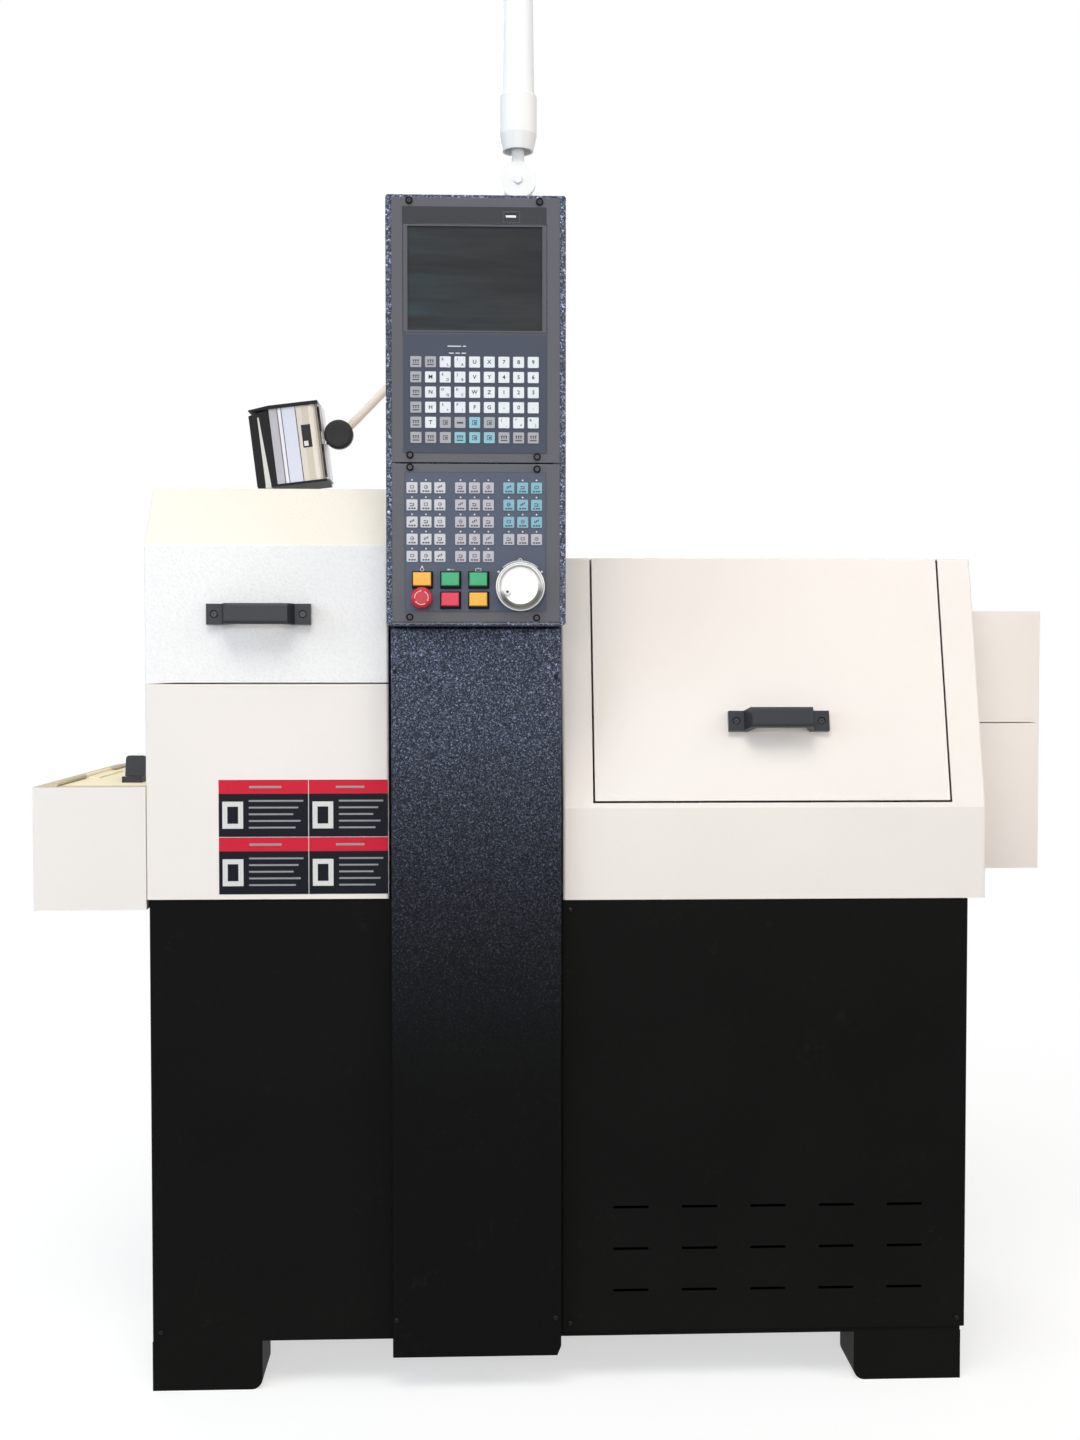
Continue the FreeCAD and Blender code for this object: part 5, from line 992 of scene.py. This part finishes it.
def make_key_bars():
    """Small dark bars and boxes that stand for the word keys' legends."""
    lift = FILM + sizes().key_raise / MM
    with new_piece("key_bars", "ink_grey") as bm:
        for _, text, x, z in entry_keys():
            if text == "#":
                for step in (-3.1, 0.0, 3.1):
                    add_mark(bm, x + step, z + 2.2, 2.5, 1.4, lift)
                    add_mark(bm, x + step, z + 0.1, 1.2, 3.0, lift)
                add_mark(bm, x, z - 3.6, 8.8, 1.5, lift)
            elif text == "=":
                add_mark(bm, x, z - 0.4, 8.6, 2.4, lift)
            elif text == "o":
                add_frame(bm, x, z, 6.4, 6.4, 0.8, lift)
                add_mark(bm, x + 0.6, z - 0.2, 2.6, 2.6, lift)
        for number, (_, x, z) in enumerate(operator_keys()):
            add_operator_sign(bm, number % 4, x, z, lift)


def add_operator_sign(bm, kind, x, z, lift):
    """Adds one of four plain signs over a word's bar at the key's bottom."""
    for step in (-3.4, 0.2, 3.4):
        add_mark(bm, x + step, z - 4.6, 2.6, 2.0, lift)
    if kind == 0:
        add_frame(bm, x, z + 1.0, 5.4, 4.0, 0.8, lift)
    elif kind == 1:
        add_ring(bm, x, z + 1.0, 2.6, 0.8, lift, steps=20)
        add_mark(bm, x + 0.4, z + 1.0, 1.4, 1.4, lift)
    elif kind == 2:
        for step in (-2.2, 0.0, 2.2):
            add_mark(bm, x + step, z + 1.4 + step / 2, 1.5, 2.8, lift)
    else:
        for across, up, wide, tall in ((-1.4, 2.0, 3.6, 1.2), (1.8, 0.5, 1.2, 4.2), (-1.0, -1.1, 4.4, 1.2)):
            add_mark(bm, x + across, z + up, wide, tall, lift)


def make_films():
    """Printed borders of the films, the band over the display and the pale headings."""
    with new_piece("film_borders", "ink_grey") as border:
        add_frame(border, -1.0, 93.0, 191.0, 160.0, 0.5)
        add_frame(border, -1.0, -106.0, 189.0, 186.0, 0.5)
    with new_piece("film_headings", "ink_pale") as heads:
        for x, z, widths in ((-37.9, 154.5, (18.1, 4.2)), (-35.9, 145.3, (6.3, 5.6, 6.0))):
            for wide in widths:
                add_mark(heads, x + wide / 2, z, wide, 1.3)
                x += wide + 2.4
    with new_piece("top_band", "top_band") as band:
        add_mark(band, -1.8, BAND_Z, 192.6, 22.0, 0.0, BAND_THICK, 0.8)


def make_usb_port():
    """Socket in the top band: faint outline, metal shell, dark mouth and pale tongue."""
    x, z = 46.4, BAND_Z - 0.2
    with new_piece("usb_outline", "panel_grey") as rim:
        add_frame(rim, x + 1.2, z - 2.0, 22.8, 14.9, 0.6, BAND_THICK)
    with new_piece("usb_shell", "ink_grey") as shell:
        add_frame(shell, x, z, 17.2, 8.0, 0.7, BAND_THICK, 0.7)
    with new_piece("usb_mouth", "black_plastic") as mouth:
        add_mark(mouth, x, z, 15.8, 6.6, BAND_THICK, 0.15)
    with new_piece("usb_tongue", "key_white") as tongue:
        add_mark(tongue, x + 0.4, z - 1.3, 13.4, 3.0, BAND_THICK, 0.6)


def make_panel_screws():
    """Socket screws in black cups, in the corners of the two control plates."""
    head = sizes().panel_screw
    grown("panel_screws", "screws_on_points", [panel(x, z) for x, z in PANEL_SCREWS], "screw_grey",
          Head=head, Rise=0.0022, Socket=0.0042, Depth=0.0019, Edge=0.86, Seed=11)
    with new_piece("screw_collars", "ink_black") as collars:
        for x, z in PANEL_SCREWS:
            add_ring(collars, x, z, head / MM / 2 + 1.2, 2.1, 0.0, 2.4, steps=28)


def make_plate_lip():
    """Grey edge of the sheet under the lower plate."""
    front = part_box("panel_housing")[0].y
    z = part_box("lower_panel_plate")[0].z - 0.0014
    with new_piece("plate_lip", "lip_grey") as bm:
        add_box(bm, (PLATE_LOW.x, front - 0.0012, z - 0.0005),
                (PLATE_HIGH.x, front + 0.0002, z + 0.0005), 0.0002)


BUTTONS = [node for node in frame["nodes"] if node.startswith("button_")]
SIGN_RISE = 14.0              # from a button's middle up to its sign


def make_button_frames():
    """Black frames that the push buttons stand in, set right and low so their wider right and lower bars are
    painted shadow, and the collar round the emergency stop.
    """
    low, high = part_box("button_red")
    wide, tall = (high.x - low.x) / MM, (high.z - low.z) / MM
    with new_piece("button_frames", "ink_black") as bm:
        for node in BUTTONS:
            x, z = panel_spot(node)
            # each frame sits 0.7 mm right of and 1.2 mm below its button: the real bezel, with painted shadow
            # on its right and lower bars
            add_frame(bm, x + 0.7, z - 1.2, wide + 4.2, tall + 5.4, 2.9, FILM, 1.4)
    with new_piece("stop_collar", "black_plastic") as ring:
        add_ring(ring, *panel_spot("emergency_stop"), 14.2, 5.0, FILM, 1.6)


def make_button_signs():
    """Pale signs over the top row of buttons."""
    left, middle, right = sorted(panel_spot(node) for node in BUTTONS if panel_spot(node)[1] > -170.0)
    with new_piece("button_signs", "ink_pale") as bm:
        x, z = left[0], left[1] + SIGN_RISE
        add_ring(bm, x, z - 0.8, 2.6, 0.6, steps=20)
        roof = [(-0.0016, 0.0), (0.0016, 0.0), (0.0, 0.0026)]
        add_outline_plate(bm, roof, 0.0001, drawn_at(x, z + 2.0, FILM))
        x, z = middle[0], middle[1] + SIGN_RISE - 1.0
        for across, wide, tall in ((-2.4, 3.2, 1.8), (0.8, 1.2, 1.0), (3.6, 1.3, 1.3)):
            add_mark(bm, x + across, z, wide, tall)
        x, z = right[0], right[1] + SIGN_RISE
        add_frame(bm, x, z - 1.6, 7.6, 4.4, 0.6)
        add_mark(bm, x, z + 0.6, 2.0, 1.4)


def make_stop_arrows():
    """Three pale turning arrows moulded on the emergency stop's head."""
    x, z = panel_spot("emergency_stop")
    lift = (PLATE_LOW.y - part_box("emergency_stop")[0].y) / MM - 0.15
    with new_piece("stop_arrows", "stop_mark", "emergency_stop") as bm:
        for start in (-12.0, 108.0, 228.0):
            add_ring(bm, x, z, 9.6, 1.1, lift, 0.35, start, 76.0, 18)
            tip = math.radians(start - 8.0)
            place = (drawn_at(x + 9.05 * math.cos(tip), z + 9.05 * math.sin(tip), lift)
                     @ Matrix.Rotation(tip - math.radians(90.0), 4, "Z"))
            add_outline_plate(bm, [(-0.0007, -0.0014), (0.0018, 0.0), (-0.0007, 0.0014)], 0.00035, place)


def make_dial_marks():
    """Scale on the plate round the dial, and the divisions on its face."""
    x, z = panel_spot("handwheel")
    reach = DIAL_REACH / MM + 2.4
    with new_piece("dial_scale", "ink_pale") as scale:
        add_ring(scale, x, z, reach, 1.2, FILM, INK, 48.0, 84.0, 50)
        add_ring(scale, x, z + reach, 2.9, 0.9, FILM, 0.14, steps=24)
        for side in (35.0, 145.0):
            t = math.radians(side)
            add_ring(scale, x + reach * math.cos(t), z + reach * math.sin(t), 1.5, 1.45, steps=16)
    face = min(p.y for p in points_near("handwheel", DIAL_CENTRE, 0.3 * DIAL_REACH, 0.85 * DIAL_REACH))
    spot = Vector((DIAL_CENTRE.x, face - 0.00005, DIAL_CENTRE.z))
    count = sizes().dial_ticks
    grown("dial_ticks", "ticks_on_arc", [spot], "ink_grey", "handwheel", Count=count,
          Radius=DIAL_REACH - 0.0054, Step=math.tau / count, Length=0.0012, Long_Length=0.0026, Long_Every=10,
          Width=0.00025, Thickness=0.00012, Centre=spot)


def make_knob_screw():
    """Small recessed screw in the end of the crank knob."""
    spot = middle_of("handwheel_knob")
    spot.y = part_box("handwheel_knob")[0].y
    grown("knob_screw", "screws_on_points", [spot], "ink_grey", "handwheel_knob",
          Head=0.0034, Rise=0.0006, Socket=0.0016, Depth=0.0005, Edge=0.8, Seed=5)


# ======== covers ========

# millimetres to the right of the column's middle, and the heights of that side's screws
COLUMN_SCREWS = ((-113.5, (1020.0, 774.0, 106.0)), (111.0, (1013.0, 773.0, 106.0)))


def make_cover_screws():
    """Button-head screws down the column and at the cabinet's lower corners."""
    middle, front = middle_of("column_cover").x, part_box("column_cover")[0].y
    points = [Vector((middle + side * MM, front, z * MM)) for side, heights in COLUMN_SCREWS for z in heights]
    low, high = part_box("front_access_panel")
    points += [Vector((low.x + 0.010, low.y, low.z + 0.013)), Vector((high.x - 0.012, low.y, low.z + 0.013)),
               Vector((low.x + 0.010, low.y, high.z - 0.013)),
               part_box("base_cabinet")[0] + Vector((0.012, 0.0, 0.014))]
    grown("cover_screws", "screws_on_points", points, "screw_black",
          Head=sizes().cover_screw, Rise=0.0020, Socket=0.0032, Depth=0.0012, Edge=0.6, Seed=7)


DECAL_LEFT, DECAL_RIGHT = -362.0, -124.0
DECAL_LOW, DECAL_HIGH = 707.0, 869.0
DECAL_SPLIT = -236.0          # where its left fields end and its right ones begin
DECAL_BAND = 20.0             # height of the red bands
DECAL_LINES = 5               # pale bars in each field
DECAL_PITCH = 9.4             # from one bar down to the next
DECAL_LAYER = 0.15            # thickness of one printed layer


def make_decal():
    """Plain striped decal on the left apron: four dark fields with pale bars, each under a red band."""
    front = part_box("headstock_housing")[0].y

    def patch(bm, left, right, low, high, layer):
        y = front - layer * DECAL_LAYER * MM
        add_box(bm, (PANEL_X + left * MM, y - DECAL_LAYER * MM, low * MM),
                (PANEL_X + right * MM, y, high * MM))

    half = (DECAL_HIGH - DECAL_LOW) / 2
    # the pieces are made when the block ends, the last named first
    with (new_piece("decal_bars", "decal_bar") as bars, new_piece("decal_boxes", "decal_sheet") as boxes,
          new_piece("decal_fields", "decal_dark") as dark, new_piece("decal_bands", "decal_red") as red,
          new_piece("decal_sheet", "decal_sheet") as sheet):
        patch(sheet, DECAL_LEFT, DECAL_RIGHT, DECAL_LOW, DECAL_HIGH, 0)
        for top in (DECAL_HIGH, DECAL_LOW + half):
            for left, right in ((DECAL_LEFT, DECAL_SPLIT), (DECAL_SPLIT, DECAL_RIGHT)):
                left, right = left + 0.5, right - 0.5
                wide, under = right - left, top - DECAL_BAND
                patch(red, left, right, under, top - 0.4, 1)
                patch(dark, left, right, top - half + 0.4, under, 1)
                patch(bars, left + 0.34 * wide, right - 0.30 * wide, under + 8.0, top - 9.0, 2)
                for row in range(DECAL_LINES):
                    z = under - 10.0 - row * DECAL_PITCH
                    patch(bars, left + 42.0, right - 7.0 - (row * 7.0) % 17.0, z - 1.2, z + 1.2, 2)
                patch(boxes, left + 5.0, left + 34.0, top - half + 12.0, under - 11.0, 2)
                patch(dark, left + 12.0, left + 27.0, top - half + 19.0, under - 18.0, 3)


HANDLE_SCREW_REACH = 0.0615   # from a handle's middle to its screws
POCKET_FLOOR = 0.033          # from the grip's front to the floor of the screws' pockets
DOOR_SLANT = math.atan2(90.0, 359.0)
# the body that a handle is on, and the way its grip faces
HANDLES = (
    ("headstock_lid", (0.0, -1.0, 0.0)),
    ("work_door", (0.0, -math.cos(DOOR_SLANT), math.sin(DOOR_SLANT))),
    ("end_box_lid", (0.0, 0.0, 1.0)),
)


def make_handle_screws():
    """Recessed socket screws in the feet of the three bridge handles."""
    for body, normal in HANDLES:
        node, out = body + "_handle", Vector(normal)
        low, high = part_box(node)
        along = Vector((0, 1, 0)) if (high - low).y > (high - low).x else Vector((1, 0, 0))
        top = max(v.co.dot(out) for v in frame["nodes"][node].data.vertices)
        for number, side in ((1, -HANDLE_SCREW_REACH), (2, HANDLE_SCREW_REACH)):
            spot = middle_of(node) + along * side
            spot += out * (top - spot.dot(out) - POCKET_FLOOR)
            grown(f"{node}_screw_{number}", "screws_on_points", [spot], "screw_grey", body, Head=0.0095,
                  Rise=0.0034, Socket=0.0048, Depth=0.0024, Edge=0.86, Seed=number + 1,
                  Tilt=tuple(out.to_track_quat("Z", "Y").to_euler()))


# ======== work lamp and tower light ========

# name, sides, heights and thickness from the middle of the head's front, and finish
LAMP_PLATES = (
    ("lamp_blank_plate", (0.0235, 0.0385), (-0.007, 0.030), 0.0005, "black_plastic"),
    ("lamp_plate_square", (0.0255, 0.0325), (-0.0045, 0.0035), 0.0008, "decal_sheet"),
)


def make_lamp_front():
    """Blank plate with a pale square on the lamp head."""
    turn = Matrix.Translation(LAMP_MIDDLE) @ Matrix.Rotation(-LAMP_TILT, 4, "Y")
    front = -LAMP_SIZE.y / 2
    for name, (left, right), (low, high), thick, finish in LAMP_PLATES:
        with new_piece(name, finish, "lamp_head") as bm:
            add_box(bm, (left, front - thick, low), (right, front + 0.0001, high), 0.0001)
            bmesh.ops.transform(bm, matrix=turn, verts=bm.verts)


KNOB_RADIUS = 0.0238
KNOB_DISC = 0.0245            # radius of the disc that the knob stands on


def make_lamp_knob():
    """Black hand knob over the lamp head's pivot disc, with a raised rim and a dished face."""
    back = max(p.y for p in points_near("lamp_head", LAMP_PIVOT, 0.0, KNOB_DISC) if p.x > LAMP_PIVOT.x)
    outline = [(0.0, 0.0), (0.0, KNOB_RADIUS - 0.002), (-0.003, KNOB_RADIUS), (-0.015, KNOB_RADIUS),
               (-0.0190, KNOB_RADIUS - 0.003), (-0.0200, KNOB_RADIUS - 0.008),
               (-0.0192, KNOB_RADIUS - 0.011), (-0.0190, 0.0)]
    with new_piece("lamp_knob", "black_plastic", "lamp_head", True) as knob:
        add_turned(knob, outline, (LAMP_PIVOT.x, back, LAMP_PIVOT.z), (0, 1, 0), 40)


FOLD_DISC = 0.0255            # radius of the tower light's folding disc


def make_tower_screw():
    """Socket screw in the folding disc, and the joint ring between the cup and its lens."""
    pivot = joint_spot("tower_light_fold")
    front = min(p.y for p in points_near("tower_light_stem", pivot, 0.0, FOLD_DISC))
    spot = Vector((pivot.x, front, pivot.z))
    grown("tower_screw", "screws_on_points", [spot], "white_plastic", "tower_light",
          Head=0.0128, Rise=0.0022, Socket=0.0060, Depth=0.0018, Edge=0.9, Seed=4)
    low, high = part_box("tower_light_lens")
    inner, outer = (high.x - low.x) / 2 - 0.001, (high.x - low.x) / 2 + 0.0008
    outline = [(-0.001, inner), (0.001, inner), (0.001, outer), (-0.001, outer), (-0.001, inner)]
    centre = (pivot.x, middle_of("tower_light_stem").y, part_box("tower_light_stem")[1].z + 0.0012)
    with new_piece("tower_ring", "white_plastic", "tower_light", True) as ring:
        add_turned(ring, outline, centre, (0, 0, 1), 56)
        bmesh.ops.remove_doubles(ring, verts=ring.verts, dist=0.00001)


# ======== stage ========

AMBIENT = 0.30
AMBIENT_TINT = (1.0, 0.995, 0.985)
WHITE = (1.0, 1.0, 1.0)
FLOOR_HALF = 30.0
FLOOR_GREY = (0.45, 0.45, 0.45)
FLOOR_LIFT = 0.60             # light the floor gives towards the camera and polished parts
FLOOR_FADE = (0.9, 2.5)       # distances between which the floor runs out to white
# name, place, what it is aimed at, width and height, power and colour
LAMPS = (
    ("window_light", (-0.3, -3.5, 1.5), (0.0, 0.0, 0.95), (2.2, 0.6), 26.0, (0.98, 0.985, 1.0)),
    ("front_softbox", (-0.4, -2.5, 4.4), (0.0, 0.0, 0.9), (2.6, 1.8), 98.0, (1.0, 0.975, 0.92)),
    ("left_softbox", (-3.2, -1.8, 1.8), (-0.5, 0.0, 0.9), (2.0, 2.0), 50.0, (0.72, 0.86, 1.0)),
    ("right_softbox", (3.2, -1.8, 2.2), (0.0, 0.0, 0.9), (2.0, 2.0), 46.0, (1.0, 0.97, 0.93)),
    ("back_softbox", (-1.2, 4.0, 2.8), (0.0, 0.0, 0.9), (2.6, 2.2), 90.0, WHITE),
)


def seen_directly(s):
    """1 for rays from the camera and those that metal and glass send on, else 0."""
    rays = s.node("ShaderNodeLightPath").outputs
    return s.math("MAXIMUM", rays["Is Camera Ray"],
                  s.math("MAXIMUM", rays["Is Glossy Ray"], rays["Is Transmission Ray"]))


def end_with_mix(s, factor, first, second, end):
    """Ends a tree with a mix of two shaders."""
    mix = s.node("ShaderNodeMixShader")
    for socket, value in zip(mix.inputs, (factor, first.outputs[0], second.outputs[0])):
        s.feed(socket, value)
    s.feed(s.tree.nodes[end].inputs["Surface"], mix.outputs[0])


def backdrop(s, shader):
    """Pale floor that keeps a soft shadow near the machine and runs out to plain white."""
    direct = seen_directly(s)
    s.fill(shader, Base_Color=FLOOR_GREY, Roughness=0.9, Specular_IOR_Level=0.0, Emission_Color=WHITE,
           Emission_Strength=s.times(direct, FLOOR_LIFT))
    far = s.ramp(s.vector("LENGTH", s.point()), *FLOOR_FADE)
    plain = s.node("ShaderNodeEmission", Strength=1.0)
    end_with_mix(s, s.times(far, direct), shader, plain, "Material Output")


def make_floor():
    """Pale floor under the machine."""
    bm = bmesh.new()
    corners = ((-1, -1), (1, -1), (1, 1), (-1, 1))
    bm.faces.new([bm.verts.new((x * FLOOR_HALF, y * FLOOR_HALF, 0.0)) for x, y in corners])
    floor = object_from("studio_floor", bm)
    floor.data.materials.append(new_material("studio_white", backdrop))


def make_world():
    """World that lights the machine softly and looks plain white."""
    world = bpy.data.worlds.new("studio_world")
    bpy.context.scene.world = world
    world.use_nodes = True
    s = Wiring(world.node_tree)
    soft = world.node_tree.nodes["Background"]
    s.fill(soft, Color=AMBIENT_TINT, Strength=AMBIENT)
    plain = s.node("ShaderNodeBackground", Color=WHITE, Strength=1.0)
    end_with_mix(s, seen_directly(s), soft, plain, "World Output")


def make_lamps():
    """Soft lamps round the machine."""
    for name, place, target, (wide, tall), power, tint in LAMPS:
        light = bpy.data.lights.new(name, "AREA")
        light.shape = "RECTANGLE"
        light.size, light.size_y = wide, tall
        light.energy = power
        light.color = tint
        lamp = linked(name, light)
        lamp.location = place
        lamp.rotation_euler = (Vector(target) - Vector(place)).to_track_quat("-Z", "Y").to_euler()


def make_camera():
    """Camera at the photograph's place: waist height, just right of the column, a little down."""
    values = bpy.context.scene.lathe_camera
    data = bpy.data.cameras.new("camera")
    data.lens = values.focal
    data.sensor_width = 36.0
    camera = linked("camera", data)
    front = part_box("work_area_enclosure")[0].y
    camera.location = (PANEL_X + values.offset, front - values.distance, values.height)
    camera.rotation_euler = (math.radians(90) - values.pitch, 0.0, -values.yaw)
    bpy.context.scene.camera = camera


# ======== operators ========

def run(*makes):
    """Runs an operator's functions in order."""
    for make in makes:
        make()
    return {"FINISHED"}


class LATHE_OT_finishes(Operator):
    """Gives every part of the frame its finish"""
    bl_idname = "lathe.finishes"
    bl_label = "Finishes"

    def execute(self, context):
        return run(paint_all_nodes)


class LATHE_OT_keys(Operator):
    """Adds the key pads and their legends"""
    bl_idname = "lathe.keys"
    bl_label = "Keys"

    def execute(self, context):
        return run(make_keys, make_key_legends, make_key_bars)


class LATHE_OT_panel(Operator):
    """Adds film borders, the top band, the socket, the plates' screws and the lip under them"""
    bl_idname = "lathe.panel"
    bl_label = "Control plates"

    def execute(self, context):
        return run(make_films, make_usb_port, make_panel_screws, make_plate_lip)


class LATHE_OT_buttons(Operator):
    """Adds button frames, signs and the emergency stop's arrows"""
    bl_idname = "lathe.buttons"
    bl_label = "Buttons"

    def execute(self, context):
        return run(make_button_frames, make_button_signs, make_stop_arrows)


class LATHE_OT_dial(Operator):
    """Adds the pulse dial's scale, divisions and knob screw"""
    bl_idname = "lathe.dial"
    bl_label = "Pulse dial"

    def execute(self, context):
        return run(make_dial_marks, make_knob_screw)


class LATHE_OT_covers(Operator):
    """Adds the covers' screws, the decal and the handles' screws"""
    bl_idname = "lathe.covers"
    bl_label = "Covers"

    def execute(self, context):
        return run(make_cover_screws, make_decal, make_handle_screws)


class LATHE_OT_lamp(Operator):
    """Adds the work lamp's plate and knob"""
    bl_idname = "lathe.lamp"
    bl_label = "Work lamp"

    def execute(self, context):
        return run(make_lamp_front, make_lamp_knob)


class LATHE_OT_tower(Operator):
    """Adds the tower light's screw and joint ring"""
    bl_idname = "lathe.tower"
    bl_label = "Tower light"

    def execute(self, context):
        return run(make_tower_screw)


class LATHE_OT_stage(Operator):
    """Adds the floor, the world, the lamps and the camera"""
    bl_idname = "lathe.stage"
    bl_label = "Stage"

    def execute(self, context):
        context.scene.view_settings.view_transform = "Standard"
        return run(make_floor, make_world, make_lamps, make_camera)


OPERATORS = (
    LATHE_OT_finishes, LATHE_OT_keys, LATHE_OT_panel, LATHE_OT_buttons, LATHE_OT_dial,
    LATHE_OT_covers, LATHE_OT_lamp, LATHE_OT_tower, LATHE_OT_stage,
)


class LATHE_PT_sidebar(Panel):
    """Lists the lathe's values and its operators"""
    bl_idname = "LATHE_PT_sidebar"
    bl_label = "Turning lathe"
    bl_space_type = "VIEW_3D"
    bl_region_type = "UI"
    bl_category = "Lathe"

    def draw(self, context):
        for group in GROUPS:
            box = self.layout.box()
            for name in GROUPS[group].__annotations__:
                box.prop(getattr(context.scene, group), name)
        for operator in OPERATORS:
            self.layout.operator(operator.bl_idname)


CLASSES = (*GROUPS.values(), *OPERATORS, LATHE_PT_sidebar)


def register():
    for cls in CLASSES:
        bpy.utils.register_class(cls)
    for name, group in GROUPS.items():
        setattr(bpy.types.Scene, name, PointerProperty(type=group))


def unregister():
    for name in GROUPS:
        delattr(bpy.types.Scene, name)
    for cls in reversed(CLASSES):
        bpy.utils.unregister_class(cls)


def main():
    """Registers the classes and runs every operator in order."""
    register()
    for operator in OPERATORS:
        getattr(bpy.ops.lathe, operator.bl_idname.split(".")[1])()


if __name__ == "__main__":
    main()
